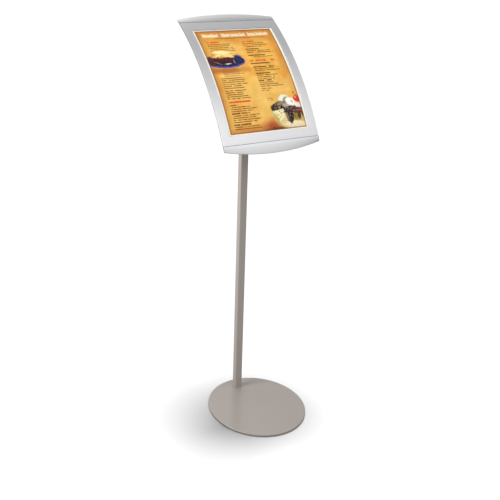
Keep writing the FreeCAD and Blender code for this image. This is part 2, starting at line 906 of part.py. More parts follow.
def rail_screws():
    """Pan-head screws through the panel into the end rails."""
    screws = []
    for number, (x, arc) in enumerate(rail_screw_places(), start=1):
        name = f"rail_screw_{number}"
        length = "panel_thickness + rail_screw_bite"
        shank = solid("Cylinder", name + "_shank", Radius="rail_screw_radius", Height=length)
        head = solid("Cylinder", name + "_head", Radius="rail_screw_head_radius",
                     Height="rail_screw_head_height")
        place(head, z="-rail_screw_head_height")
        slot = solid("Box", name + "_slot", Length="2 * rail_screw_head_radius + 2 * overrun",
                     Width="rail_screw_slot_width", Height="rail_screw_slot_depth")
        place(
            slot,
            x="-rail_screw_head_radius - overrun",
            y="-rail_screw_slot_width / 2",
            z="-rail_screw_head_height",
        )
        screw = cut(name, fuse(name + "_blank", shank, head), slot)
        screws.append(place_radially(screw, x, arc, "panel_back - flat_seat_gap"))
    return place_on_head(group("rail_screws", screws))


def panel_studs():
    """Studs welded to the back of the panel."""
    studs = []
    for number, (x, arc) in enumerate(stud_places(), start=1):
        stud = solid("Cylinder", f"stud_{number}", Radius="stud_radius", Height="stud_length")
        studs.append(place_radially(stud, x, arc, "panel_back - flat_seat_gap - stud_length"))
    return place_on_head(group("panel_studs", studs))


def stud_rings(label, depth, height, outer):
    """One ring on each stud, lying this far down from the bracket plate."""
    seat = f"plate_back - flat_seat_gap - ({depth})"
    rings = []
    for number, (x, arc) in enumerate(stud_places(), start=1):
        name = f"{label}_{number}"
        blank = outer(name + "_blank", height)
        hole = solid("Cylinder", name + "_hole", Radius="stud_radius", Height=height)
        rings.append(place_radially(cut(name, blank, hole), x, arc, seat))
    return place_on_head(group(label, rings))


def stud_washers():
    return stud_rings(
        "stud_washers",
        "stud_washer_thickness",
        "stud_washer_thickness",
        lambda name, height: solid("Cylinder", name, Radius="stud_washer_radius", Height=height),
    )


def stud_nuts():
    def hexagon(name, height):
        made = solid("Prism", name, Circumradius="stud_nut_radius", Height=height)
        made.Polygon = 6
        return made

    return stud_rings("stud_nuts", "stud_washer_thickness + stud_nut_height", "stud_nut_height", hexagon)


# ---- The whole stand ----

nodes = [
    base_mat(),
    base_plate(),
    base_screw(),
    foot_block(),
    post_tube(),
    post_head(),
    stem_screw(),
    tilt_bracket(),
    pivot_bolt(),
    friction_washers(),
    knob_washer(),
    clamp_knob(),
    knob_nut(),
    back_panel(),
    spacer_frame(),
    magnets(),
    face_frame(),
    clear_lens(),
    print_sheet(),
    end_rail("top_rail", 1),
    end_rail("bottom_rail", -1),
    rail_screws(),
    panel_studs(),
    stud_washers(),
    stud_nuts(),
]
doc.recompute()

for thing in doc.Objects:
    if "Invalid" in thing.State or "Error" in thing.State:
        raise RuntimeError(f"{thing.Name} is {thing.State}")
for node in nodes:
    if node.Shape.isNull() or not node.Shape.isValid():
        raise RuntimeError(node.Label + " has no valid shape")

os.makedirs("parts", exist_ok=True)
for node in nodes:
    node.Shape.exportStep(f"parts/{node.Label}.step")
    print(f"{node.Label}: {len(node.Shape.Solids)} solid(s), {node.Shape.Volume:.1f} mm3")
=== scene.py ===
# %% [markdown]
# # A floor sign with a bowed face
# The sign stands by a door on an oval steel plate. A rectangular post carries a bowed head, which tilts
# on a clamped hinge. The head is a sandwich: a sheet of metal behind, the print, a clear lens and a
# silver frame in front, with a brushed rail across each end.
#
# The CAD model is the fixed frame. Every piece made here lies where the CAD says and rides on one of
# its bodies: stand, head, knob, face or print.

import json
import math
import random

import bmesh
import bpy
from mathutils import Matrix, Vector


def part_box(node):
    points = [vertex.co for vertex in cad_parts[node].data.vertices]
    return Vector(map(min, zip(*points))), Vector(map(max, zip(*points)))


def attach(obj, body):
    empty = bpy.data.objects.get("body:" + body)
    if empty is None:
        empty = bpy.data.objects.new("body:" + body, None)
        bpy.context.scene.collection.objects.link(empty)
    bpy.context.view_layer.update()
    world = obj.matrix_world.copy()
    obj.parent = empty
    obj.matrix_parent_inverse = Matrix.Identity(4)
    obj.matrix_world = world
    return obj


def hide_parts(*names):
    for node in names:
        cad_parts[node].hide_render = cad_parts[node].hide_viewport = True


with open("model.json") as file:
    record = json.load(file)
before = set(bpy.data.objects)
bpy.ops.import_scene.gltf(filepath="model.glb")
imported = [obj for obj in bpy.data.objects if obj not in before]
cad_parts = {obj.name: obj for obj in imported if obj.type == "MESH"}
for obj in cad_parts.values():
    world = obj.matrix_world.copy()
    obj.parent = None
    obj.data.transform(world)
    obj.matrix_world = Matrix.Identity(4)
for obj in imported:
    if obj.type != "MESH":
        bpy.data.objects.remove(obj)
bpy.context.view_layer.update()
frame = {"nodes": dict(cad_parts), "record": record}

# %% [markdown]
# ## Where the head is
# The hinge pin and the lean of the head are read from the joints, so this script follows the CAD if
# either changes. A point on the bowed face is easiest to give as a distance across, a distance up over
# the bow (an arc) and a height off the front surface. `on_head` turns those three into a place.

# %% Read the hinge and measure the lean
joints = {joint["name"]: joint for joint in frame["record"]["behaviour"]["joints"]}
pivot = Vector(joints["head_tilt"]["pos_m"])
lift = Vector(joints["face_lift"]["axis"])
lean = math.atan2(lift.z, -lift.y)
print("hinge pin at", tuple(pivot), "lean", round(math.degrees(lean), 1), "degrees")

bow_radius = 0.600
face_standoff = 0.047
head_frame = Matrix.Translation(pivot) @ Matrix.Rotation(-lean, 4, "X")


def on_head(across, arc, off=0.0):
    """The place of a point given by its distance across, its arc up the bow and its height off the front."""
    turn = arc / bow_radius
    reach = bow_radius + off
    return head_frame @ Vector((
        across,
        bow_radius - face_standoff - reach * math.cos(turn),
        reach * math.sin(turn),
    ))


# %% [markdown]
# ## Camera
# A photographer stood to the left of the sign, a little above it, and looked down past it. The camera
# comes early, because it is what every shape is compared through.

# %% Place the camera
def place_camera(azimuth=31.52, down=22.21, roll=1.87, lens=57.56):
    data = bpy.data.cameras.new("camera")
    data.lens = lens
    data.clip_end = 200
    camera = bpy.data.objects.new("camera", data)
    bpy.context.collection.objects.link(camera)
    side, drop = math.radians(azimuth), math.radians(down)
    look = Vector((
        math.sin(side) * math.cos(drop),
        math.cos(side) * math.cos(drop),
        -math.sin(drop),
    ))
    camera.location = Vector((-0.944, -1.482, 1.153))
    camera.rotation_mode = "QUATERNION"
    turn = Matrix.Rotation(math.radians(roll), 4, "Z").to_quaternion()
    camera.rotation_quaternion = look.to_track_quat("-Z", "Y") @ turn
    bpy.context.scene.camera = camera
    return camera


camera = place_camera()
print("camera", tuple(round(part, 3) for part in camera.location))

# %% [markdown]
# ## Light and floor
# The picture is a catalogue shot: a white sweep, one broad light overhead and a bright room to the
# front. A sky that is brighter near the horizon gives satin metal something to reflect, one large, soft
# sun that lights only the floor lays the pale shadow to the left of the base, and a round area lamp stands to
# the left.

# %% Build the sky, the suns and the floor
def node(tree, kind, **settings):
    made = tree.nodes.new("ShaderNode" + kind)
    for name, setting in settings.items():
        setattr(made, name, setting)
    return made


def feed(tree, socket, source):
    """Links a socket, or sets it if the source is a plain number or colour."""
    if isinstance(source, bpy.types.NodeSocket):
        tree.links.new(source, socket)
    elif source is not None:
        socket.default_value = source


def maths(tree, operation, *terms):
    made = node(tree, "Math", operation=operation)
    for socket, term in zip(made.inputs, terms):
        feed(tree, socket, term)
    return made.outputs[0]


def ramp(tree, factor, *stops):
    """A colour ramp whose stops are (position, brightness or colour)."""
    made = node(tree, "ValToRGB")
    elements = made.color_ramp.elements
    while len(elements) < len(stops):
        elements.new(0.5)
    for element, (position, tone) in zip(elements, stops):
        element.position = position
        element.color = (*tone, 1) if isinstance(tone, tuple) else (tone, tone, tone, 1)
    feed(tree, made.inputs["Fac"], factor)
    return made.outputs["Color"]


SOFTBOXES = [
    # degrees up, degrees round from +X, brightness
    (52, 90, 1.44), (30, 288, 1.25), (72, 144, 1.00), (52, 315, 0.82),
    (30, 36, 0.62), (30, 252, 1.30), (72, 72, 0.36), (52, 225, 0.50),
]


def towards(up, round_):
    """The direction of a point in the sky."""
    up, round_ = math.radians(up), math.radians(round_)
    return math.cos(up) * math.cos(round_), math.cos(up) * math.sin(round_), math.sin(up)


def build_sky(room=0.14, inner=6, outer=34):
    world = bpy.data.worlds.new("soft_room")
    bpy.context.scene.world = world
    world.use_nodes = True
    tree = world.node_tree
    look = node(tree, "TexCoord").outputs["Generated"]
    total = room
    for up, round_, brightness in SOFTBOXES:
        nearness = node(tree, "VectorMath", operation="DOT_PRODUCT")
        feed(tree, nearness.inputs[0], look)
        nearness.inputs[1].default_value = towards(up, round_)
        glow = node(tree, "MapRange", interpolation_type="SMOOTHSTEP")
        feed(tree, glow.inputs["Value"], nearness.outputs["Value"])
        glow.inputs["From Min"].default_value = math.cos(math.radians(outer))
        glow.inputs["From Max"].default_value = math.cos(math.radians(inner))
        total = maths(tree, "MULTIPLY_ADD", glow.outputs["Result"], brightness, total)
    seen = node(tree, "LightPath").outputs["Is Camera Ray"]
    shown = maths(tree, "MAXIMUM", total, maths(tree, "MULTIPLY", seen, 1.1))
    feed(tree, tree.nodes["Background"].inputs["Color"], shown)


def lights_only(light, things, state="INCLUDE"):
    """Limits a light to some things, or keeps it off them."""
    chosen = bpy.data.collections.new(light.name + "_reach")
    for thing in things:
        chosen.objects.link(thing)
    light.light_linking.receiver_collection = chosen
    for linked in chosen.collection_objects:
        linked.light_linking.link_state = state


def add_light(name, kind, at, aim, energy, **settings):
    data = bpy.data.lights.new(name, kind)
    data.energy = energy
    for label, setting in settings.items():
        setattr(data, label, setting)
    light = bpy.data.objects.new(name, data)
    light.location = at
    light.rotation_mode = "QUATERNION"
    light.rotation_quaternion = (Vector(aim) - Vector(at)).to_track_quat("-Z", "Y")
    bpy.context.collection.objects.link(light)
    return light


def lay_floor(half=30):
    corners = [(-half, -half, 0), (half, -half, 0), (half, half, 0), (-half, half, 0)]
    mesh = bpy.data.meshes.new("floor")
    mesh.from_pydata(corners, [], [(0, 1, 2, 3)])
    floor = bpy.data.objects.new("floor", mesh)
    bpy.context.collection.objects.link(floor)
    paper = bpy.data.materials.new("white_sweep")
    paper.use_nodes = True
    tree = paper.node_tree
    shader = tree.nodes["Principled BSDF"]
    grain = node(tree, "TexNoise")
    grain.inputs["Scale"].default_value = 3
    feed(tree, grain.inputs["Vector"], node(tree, "TexCoord").outputs["Object"])
    seen = node(tree, "LightPath").outputs["Is Camera Ray"]
    pale = maths(tree, "MULTIPLY_ADD", seen, 0.107, 0.133)
    shade = maths(tree, "MULTIPLY_ADD", grain.outputs["Fac"], 0.01, pale)
    feed(tree, shader.inputs["Base Color"], shade)
    shader.inputs["Roughness"].default_value = 0.9
    shader.inputs["Specular IOR Level"].default_value = 0.1
    mesh.materials.append(paper)
    return floor


build_sky()
floor = lay_floor()
overhead = add_light("overhead", "SUN", (0.060, 0.130, 1), (0, 0, 0), 10.8, angle=math.radians(15))
lights_only(overhead, [floor])
left_box = add_light("left_box", "AREA", (-1.3, 0.1, 1.1), (0, 0.08, 0.7), 27, shape="DISK", size=0.8)
bpy.context.scene.view_settings.view_transform = "Standard"
print("sky, two lights and floor are up")

# %% [markdown]
# ## Finishes as node groups
# A finish is mostly small variation: a powder coat is pebbled, a brushed rail has long fine lines, and
# any handled surface has faint rubs. Each effect is one shader node group with named inputs, and each
# material uses it with values of its own. The groups put out only colours, masks and heights, and the
# Principled BSDF stays in the material.

# %% Helpers for groups and materials
def new_group(name, inputs, outputs):
    tree = bpy.data.node_groups.new(name, "ShaderNodeTree")
    for label, kind, default in inputs:
        socket = tree.interface.new_socket(label, in_out="INPUT", socket_type="NodeSocket" + kind)
        if default is not None:
            socket.default_value = default
    for label, kind in outputs:
        tree.interface.new_socket(label, in_out="OUTPUT", socket_type="NodeSocket" + kind)
    given = tree.nodes.new("NodeGroupInput").outputs
    result = tree.nodes.new("NodeGroupOutput").inputs
    return tree, given, result


def use_group(tree, group, **values):
    """Places a group in a tree; each keyword is an input's name with spaces as underscores."""
    made = tree.nodes.new("ShaderNodeGroup")
    made.node_tree = group
    for name, source in values.items():
        feed(tree, made.inputs[name.replace("_", " ")], source)
    return made.outputs


def blend(tree, factor, low, high, kind="MIX"):
    """Mixes two colours."""
    made = node(tree, "Mix", data_type="RGBA", blend_type=kind)
    feed(tree, made.inputs["Factor"], factor)
    feed(tree, made.inputs[6], low)
    feed(tree, made.inputs[7], high)
    return made.outputs[2]


def spread(tree, value, low, high, out_low=0.0, out_high=1.0):
    """Maps one range onto another, clamped at its ends."""
    made = node(tree, "MapRange")
    for name, source in zip(("Value", "From Min", "From Max", "To Min", "To Max"),
                            (value, low, high, out_low, out_high)):
        feed(tree, made.inputs[name], source)
    return made.outputs["Result"]


def noise(tree, place, scale, detail=2.0, stretch=None):
    if stretch:
        mapping = node(tree, "Mapping")
        feed(tree, mapping.inputs["Vector"], place)
        mapping.inputs["Scale"].default_value = stretch
        place = mapping.outputs["Vector"]
    made = node(tree, "TexNoise")
    feed(tree, made.inputs["Vector"], place)
    feed(tree, made.inputs["Scale"], scale)
    made.inputs["Detail"].default_value = detail
    return made.outputs["Fac"]


def new_material(name, metallic=0.0, **plain):
    """A material with its shader; plain numbers go on the shader's own sockets."""
    material = bpy.data.materials.new(name)
    material.use_nodes = True
    shader = material.node_tree.nodes["Principled BSDF"]
    shader.inputs["Metallic"].default_value = metallic
    for label, number in plain.items():
        shader.inputs[label.replace("_", " ")].default_value = number
    return material, material.node_tree, shader


def bump(tree, shader, height, strength, distance):
    made = node(tree, "Bump")
    made.inputs["Strength"].default_value = strength
    made.inputs["Distance"].default_value = distance
    feed(tree, made.inputs["Height"], height)
    feed(tree, shader.inputs["Normal"], made.outputs["Normal"])


def object_place(tree):
    return node(tree, "TexCoord").outputs["Object"]


# %% Pebbled coat: colour, roughness and height of a baked powder or a moulded grain
def make_pebbled_group():
    tree, given, result = new_group(
        "Pebbled coat",
        [("Place", "Vector", None), ("Colour", "Color", (0.5, 0.5, 0.5, 1)),
         ("Grain", "Float", 900.0), ("Mottle", "Float", 0.06), ("Roughness", "Float", 0.5)],
        [("Colour", "Color"), ("Roughness", "Float"), ("Height", "Float")],
    )
    fine = noise(tree, given["Place"], given["Grain"], 2)
    broad = noise(tree, given["Place"], 14.0, 4)
    shade = maths(tree, "MULTIPLY", maths(tree, "SUBTRACT", broad, 0.5), given["Mottle"])
    speck = maths(tree, "MULTIPLY", maths(tree, "SUBTRACT", fine, 0.5), 0.10)
    tone = maths(tree, "ADD", maths(tree, "ADD", shade, speck), 1.0)
    grey = node(tree, "CombineColor")
    for socket in grey.inputs[:3]:
        feed(tree, socket, tone)
    feed(tree, result["Colour"], blend(tree, 1.0, given["Colour"], grey.outputs[0], "MULTIPLY"))
    rub = maths(tree, "MULTIPLY", shade, 1.5)
    feed(tree, result["Roughness"], maths(tree, "ADD", given["Roughness"], rub))
    feed(tree, result["Height"], fine)
    return tree


# %% Brushed lines: long fine scratches along one axis
def make_brushed_group():
    tree, given, result = new_group(
        "Brushed lines",
        [("Place", "Vector", None), ("Colour", "Color", (0.7, 0.7, 0.7, 1)),
         ("Contrast", "Float", 0.2), ("Roughness", "Float", 0.3)],
        [("Colour", "Color"), ("Roughness", "Float"), ("Height", "Float")],
    )
    fine = noise(tree, given["Place"], 1.0, 3, stretch=(9, 2600, 2600))
    coarse = noise(tree, given["Place"], 1.0, 2, stretch=(3, 420, 420))
    lines = maths(tree, "ADD", maths(tree, "MULTIPLY", fine, 0.6), maths(tree, "MULTIPLY", coarse, 0.4))
    swing = maths(tree, "MULTIPLY", maths(tree, "SUBTRACT", lines, 0.5), given["Contrast"])
    tone = maths(tree, "ADD", maths(tree, "MULTIPLY", swing, 2.0), 1.0)
    grey = node(tree, "CombineColor")
    for socket in grey.inputs[:3]:
        feed(tree, socket, tone)
    feed(tree, result["Colour"], blend(tree, 1.0, given["Colour"], grey.outputs[0], "MULTIPLY"))
    feed(tree, result["Roughness"], maths(tree, "ADD", given["Roughness"], swing))
    feed(tree, result["Height"], lines)
    return tree


# %% Handling marks: a mask of thin curved scuffs
def make_scuff_group():
    tree, given, result = new_group(
        "Handling marks",
        [("Place", "Vector", None), ("Size", "Float", 30.0), ("Amount", "Float", 0.5)],
        [("Mask", "Float")],
    )
    warp = noise(tree, given["Place"], given["Size"], 3)
    line = maths(tree, "ABSOLUTE", maths(tree, "SUBTRACT", warp, 0.5))
    thin = spread(tree, line, 0.0, 0.012, 1.0, 0.0)
    patch = spread(tree, noise(tree, given["Place"], 9.0, 2), 0.52, 0.62)
    mask = maths(tree, "MULTIPLY", maths(tree, "MULTIPLY", thin, patch), given["Amount"])
    feed(tree, result["Mask"], mask)
    return tree


pebbled_coat = make_pebbled_group()
brushed_lines = make_brushed_group()
handling_marks = make_scuff_group()
print("finish groups", pebbled_coat.name, brushed_lines.name, handling_marks.name)

# %% [markdown]
# ## The plain finishes
# Powder coat for the base and a lighter copy of it for the post, whose raised colour is painted light, a
# smoother silver coat for the face, brushed and mill-finish aluminium, moulded plastic, rubber, plated steel,
# brass and fibre. One function serves each family.

# %% Coats, plastics and rubber
def coated(name, colour, grain, roughness, depth=0.00004, mottle=0.06, metallic=0.0, **plain):
    material, tree, shader = new_material(name, metallic, **plain)
    place = object_place(tree)
    coat = use_group(tree, pebbled_coat, Place=place, Colour=(*colour, 1), Grain=grain,
                     Mottle=mottle, Roughness=roughness)
    marks = use_group(tree, handling_marks, Place=place, Size=30.0, Amount=0.03)["Mask"]
    paler = tuple(min(1.0, part * 1.35 + 0.02) for part in colour)
    feed(tree, shader.inputs["Base Color"], blend(tree, marks, coat["Colour"], (*paler, 1)))
    feed(tree, shader.inputs["Roughness"], coat["Roughness"])
    bump(tree, shader, coat["Height"], 0.5, depth)
    return material


taupe_coat = coated("taupe_powder_coat", (0.248, 0.220, 0.200), 900.0, 0.24, IOR=1.6)
# Lighter copy of the base's taupe for the post: the same paint, its colour raised as painted light on the
# post.
post_coat_painted_lighter = coated("taupe_post_coat", (0.300, 0.267, 0.243), 900.0, 0.36, IOR=1.55)
dark_coat = coated("dark_powder_coat", (0.035, 0.036, 0.038), 900.0, 0.5)
silver_coat = coated("satin_silver", (0.60, 0.60, 0.612), 2500.0, 0.36, 0.000006, 0.02, metallic=0.85)
moulded_black = coated("moulded_black", (0.022, 0.022, 0.024), 1500.0, 0.55)
mat_rubber = coated("mat_rubber", (0.03, 0.03, 0.03), 500.0, 0.8, 0.0001)
fibre = coated("pressed_fibre", (0.16, 0.06, 0.03), 1200.0, 0.7)


# %% Bare metals
def brushed(name, colour, contrast, roughness, anisotropic=0.0, turned=False, **plain):
    """Brushed metal whose lines run across the head, or up it if turned."""
    material, tree, shader = new_material(name, 1.0, Anisotropic=anisotropic, **plain)
    mapping = node(tree, "Mapping")
    feed(tree, mapping.inputs["Vector"], node(tree, "UVMap", uv_map="Face").outputs["UV"])
    if turned:
        mapping.inputs["Rotation"].default_value = (0, 0, math.pi / 2)
    lines = use_group(tree, brushed_lines, Place=mapping.outputs["Vector"], Colour=(*colour, 1),
                      Contrast=contrast, Roughness=roughness)
    feed(tree, shader.inputs["Base Color"], lines["Colour"])
    feed(tree, shader.inputs["Roughness"], lines["Roughness"])
    bump(tree, shader, lines["Height"], 0.35, 0.000005)
    if anisotropic:
        tangent = node(tree, "Tangent", direction_type="UV_MAP", uv_map="Face")
        feed(tree, shader.inputs["Tangent"], tangent.outputs["Tangent"])
    return material


def plated(name, colour, roughness):
    """Small plated or turned parts, with faint pebbling and marks."""
    material, tree, shader = new_material(name, 1.0)
    place = object_place(tree)
    coat = use_group(tree, pebbled_coat, Place=place, Colour=(*colour, 1), Grain=1800.0,
                     Mottle=0.3, Roughness=roughness)
    marks = use_group(tree, handling_marks, Place=place, Size=160.0, Amount=0.5)["Mask"]
    dull = tuple(part * 0.55 for part in colour)
    feed(tree, shader.inputs["Base Color"], blend(tree, marks, coat["Colour"], (*dull, 1)))
    feed(tree, shader.inputs["Roughness"], coat["Roughness"])
    bump(tree, shader, coat["Height"], 0.3, 0.00001)
    return material


brushed_rail = brushed("brushed_rail", (0.58, 0.583, 0.59), 0.16, 0.26, anisotropic=0.6)
mill_sheet = brushed("mill_finish_sheet", (0.60, 0.61, 0.62), 0.12, 0.42, turned=True)
zinc_plate = plated("zinc_plate", (0.62, 0.63, 0.64), 0.32)
brass = plated("turned_brass", (0.75, 0.53, 0.22), 0.3)
nickel = plated("nickel_plate", (0.70, 0.68, 0.65), 0.22)
print("plain finishes made:", len(bpy.data.materials))

# %% [markdown]
# ## Grids and slabs
# The frame, the lens, the print, the sheet behind and both rails are slabs: a front surface, a back
# surface and the walls between. One helper builds them all from two lists of distances and two
# functions, and it can leave cells out for a window. A second UV map in plain metres, called Face,
# goes on every slab so that brushing and printing follow the bow.

# %% Build slabs
def steps(start, end, count):
    return [start + (end - start) * index / count for index in range(count + 1)]


def link(name, mesh, material):
    piece = bpy.data.objects.new(name, mesh)
    bpy.context.collection.objects.link(piece)
    mesh.materials.append(material)
    return piece


def slab(name, material, across, up, front, back, keep=lambda i, j: True):
    """A closed slab over a grid; front and back give a point's place from its two distances."""
    mesh = bpy.data.meshes.new(name)
    shape = bmesh.new()
    face_map = shape.loops.layers.uv.new("Face")
    flat = {}

    def grid(surface):
        made = {}
        for i, x in enumerate(across):
            for j, arc in enumerate(up):
                made[i, j] = shape.verts.new(surface(x, arc))
                flat[made[i, j]] = (0.5 + x, 0.5 + arc)
        return made

    fronts, backs = grid(front), grid(back)
    cells = {(i, j) for i in range(len(across) - 1) for j in range(len(up) - 1) if keep(i, j)}
    for i, j in cells:
        ring = [(i, j), (i + 1, j), (i + 1, j + 1), (i, j + 1)]
        shape.faces.new([fronts[spot] for spot in ring])
        shape.faces.new([backs[spot] for spot in reversed(ring)])
        sides = {(0, 1): (i, j - 1), (1, 2): (i + 1, j), (2, 3): (i, j + 1), (3, 0): (i - 1, j)}
        for (start, end), beyond in sides.items():
            if beyond not in cells:
                a, b = ring[start], ring[end]
                shape.faces.new([fronts[b], fronts[a], backs[a], backs[b]])
    for made in shape.faces:
        for corner in made.loops:
            corner[face_map].uv = flat[corner.vert]
    bmesh.ops.delete(shape, geom=[v for v in shape.verts if not v.link_faces], context="VERTS")
    bmesh.ops.recalc_face_normals(shape, faces=shape.faces)
    shape.to_mesh(mesh)
    shape.free()
    return link(name, mesh, material)


def round_off(piece, width, segments=2, angle=50):
    """Rounds sharp edges with a bevel, then settles the mesh and smooths it."""
    if width:
        bevel = piece.modifiers.new("edges", "BEVEL")
        bevel.width = width
        bevel.segments = segments
        bevel.limit_method = "ANGLE"
        bevel.angle_limit = math.radians(angle)
        settle(piece)
    piece.data.shade_smooth()
    piece.data.set_sharp_from_angle(angle=math.radians(35))
    flatter = piece.modifiers.new("normals", "WEIGHTED_NORMAL")
    flatter.keep_sharp = True
    return settle(piece)


def settle(piece):
    """Turns a piece's modifiers into plain mesh."""
    graph = bpy.context.evaluated_depsgraph_get()
    mesh = bpy.data.meshes.new_from_object(piece.evaluated_get(graph), depsgraph=graph)
    piece.modifiers.clear()
    old = piece.data
    piece.data = mesh
    bpy.data.meshes.remove(old)
    mesh.name = piece.name
    return piece


def join_stand(piece, body, slot, *nodes):
    """Says what a finished piece rides on and the CAD nodes that it stands for; slot, its finish, is not
    used.
    """
    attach(piece, body)
    if nodes:
        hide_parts(*nodes)
    print(piece.name, "rides on", body, "with", len(piece.data.polygons), "faces")
    return piece


# %% [markdown]
# ## Base plate
# A laser-cut oval of thick steel, its top edge eased by sanding before it is coated. Rings of points
# from the middle to the rim follow one edge profile, so the rim stays smooth all round. The screw's
# countersunk hole is cut under it with a Boolean.

# %% Make the base plate
def turned(name, material, rings, count=48, centre=(0, 0, 0), turn=None, outline=None):
    """A closed lathe-like shape from (radius, height, sides) rings; sides 0 is round, 6 a hexagon.

    outline, where given, says how far a round ring reaches at an angle, as a share of its radius.
    """
    mesh = bpy.data.meshes.new(name)
    shape = bmesh.new()
    turn = turn or Matrix.Identity(3)
    rows = []
    for radius, height, sides in rings:
        if radius == 0:
            rows.append([shape.verts.new(turn @ Vector((0, 0, height)) + Vector(centre))])
            continue
        row = []
        for index in range(count):
            angle = 2 * math.pi * index / count
            reach = radius
            if sides:
                half = math.pi / sides
                reach = radius / math.cos((angle + half) % (2 * half) - half)
            elif outline:
                reach = radius * outline(angle, radius, height)
            spot = Vector((reach * math.cos(angle), reach * math.sin(angle), height))
            row.append(shape.verts.new(turn @ spot + Vector(centre)))
        rows.append(row)
    for low, high in zip(rows, rows[1:]):
        for index in range(count):
            following = (index + 1) % count
            ring = [low[index % len(low)], low[following % len(low)],
                    high[following % len(high)], high[index % len(high)]]
            distinct = list(dict.fromkeys(ring))
            if len(distinct) > 2:
                shape.faces.new(distinct)
    bmesh.ops.recalc_face_normals(shape, faces=shape.faces)
    shape.to_mesh(mesh)
    shape.free()
    return link(name, mesh, material)


base_low, base_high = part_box("base_plate")
base_middle = (base_low + base_high) / 2
base_half = (base_high - base_low) / 2


def eased_profile(top, low, ease, outer=1.0):
    """(inset, height) down a rim with a rounded top edge and a slightly eased lower one."""
    arc = [(ease * (1 - math.sin(a)), top - ease * (1 - math.cos(a)))
           for a in (math.pi / 2 * k / 6 for k in range(7))]
    return [*arc, (0.0, low + 0.0003), (0.0003, low)]


def make_base():
    rim = eased_profile(base_high.z, base_low.z, 0.0012)
    shares = (0.0, 0.2, 0.4, 0.6, 0.8, 0.92)
    rings = [(share, base_high.z) for share in shares]
    rings += [(1 - inset / base_half.x, height) for inset, height in rim]
    rings += [(share, base_low.z) for share in (*shares[::-1],)]
    mesh_rings = [(share, height, 0) for share, height in rings]
    piece = turned("base_oval", taupe_coat, mesh_rings, count=192)
    for vertex in piece.data.vertices:
        vertex.co.x = base_middle.x + vertex.co.x * base_half.x
        vertex.co.y = base_middle.y + vertex.co.y * base_half.y
    cutter = turned("screw_cutter", taupe_coat, [
        (0, base_low.z - 0.001, 0), (0.0086, base_low.z - 0.001, 0), (0.0083, base_low.z, 0),
        (0.0043, base_low.z + 0.004, 0), (0.0043, base_high.z - 0.0008, 0), (0, base_high.z - 0.0008, 0),
    ], centre=(pivot.x, pivot.y, 0))
    hole = piece.modifiers.new("screw_hole", "BOOLEAN")
    hole.object = cutter
    settle(piece)
    bpy.data.objects.remove(cutter)
    round_off(piece, 0)
    return join_stand(piece, "stand", "taupe_coat", "base_plate")


base_oval = make_base()

# %% [markdown]
# ## Post
# A rectangular steel tube with small outside corners, in the base's taupe paint; its coat here is a lighter
# copy, whose extra brightness is painted light. The section is drawn as four arcs and swept straight up; the
# ends are thin rings, so the tube is open as the real one is.

# %% Make the post
def rounded_rectangle(width, depth, corner, per_corner=6):
    spots = []
    for quarter, (sx, sy) in enumerate(((1, 1), (-1, 1), (-1, -1), (1, -1))):
        middle = Vector((sx * (width / 2 - corner), sy * (depth / 2 - corner)))
        for index in range(per_corner + 1):
            angle = math.pi / 2 * (quarter + index / per_corner)
            spots.append(middle + Vector((math.cos(angle), math.sin(angle))) * corner)
    return spots


def make_post(wall=0.0015, corner=0.002, ease=0.0003):
    low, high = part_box("post_tube")
    middle = (low + high) / 2
    size = high - low
    mesh = bpy.data.meshes.new("post")
    shape = bmesh.new()
    outer = [(0, ease), (ease, 0)]
    heights = steps(low.z, high.z, 24)
    loops = []
    for z in heights:
        inset = ease if z in (heights[0], heights[-1]) else 0.0
        loops.append((rounded_rectangle(size.x - 2 * inset, size.y - 2 * inset, corner - inset), z))
    loops.insert(1, (rounded_rectangle(size.x, size.y, corner), low.z + ease))
    loops.insert(-1, (rounded_rectangle(size.x, size.y, corner), high.z - ease))
    inside = rounded_rectangle(size.x - 2 * wall, size.y - 2 * wall, corner - wall)
    loops += [(inside, high.z), (inside, low.z)]
    rows = [[shape.verts.new((middle.x + s.x, middle.y + s.y, z)) for s in spots] for spots, z in loops]
    rows.append(rows[0])
    for one, other in zip(rows, rows[1:]):
        for index in range(len(one)):
            following = (index + 1) % len(one)
            shape.faces.new([one[index], one[following], other[following], other[index]])
    bmesh.ops.recalc_face_normals(shape, faces=shape.faces)
    shape.to_mesh(mesh)
    shape.free()
    # The post wears the lighter copy of the taupe coat: painted light on the base's paint.
    piece = round_off(link("post", mesh, post_coat_painted_lighter), 0)
    return join_stand(piece, "stand", "taupe_coat", "post_tube")


post = make_post()

# %% [markdown]
# ## The bowed layers
# From the back: a sheet of mill-finish aluminium, the print, the lens, the silver frame. Their
# thicknesses add up from the front surface, so each layer is given by how far its two surfaces lie
# below that front.

# %% Sizes of the layers
face_low, face_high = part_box("face_frame")
head_width = face_high.x - face_low.x
face_length = 0.319
window_width = 0.2096
window_length = 0.273
window_drop = 0.0023
frame_back = -0.001
lens_back = -0.002
print_front = -0.0023
print_back = -0.0026
panel_front = -0.0029
panel_back = -0.0049
rail_front = 0.0008
print("face", round(head_width, 4), "by", face_length, "m over the bow")


def layer(front_off, back_off):
    """The two surfaces of a bowed layer."""
    return (lambda x, arc: on_head(x, arc, front_off)), (lambda x, arc: on_head(x, arc, back_off))


# %% Silver frame with its window
def make_face_frame():
    half, reach = head_width / 2, face_length / 2
    low, high = -window_drop - window_length / 2, -window_drop + window_length / 2
    across = [-half, *steps(-window_width / 2, window_width / 2, 8), half]
    up = [*steps(-reach, low, 4), *steps(low, high, 64)[1:], *steps(high, reach, 4)[1:]]
    front, back = layer(0, frame_back)
    piece = slab("silver_frame", silver_coat, across, up, front, back,
                 keep=lambda i, j: not (0 < i < 9 and 4 <= j < 68))
    round_off(piece, 0.0004)
    return join_stand(piece, "face", "silver_coat", "face_frame")


silver_frame = make_face_frame()


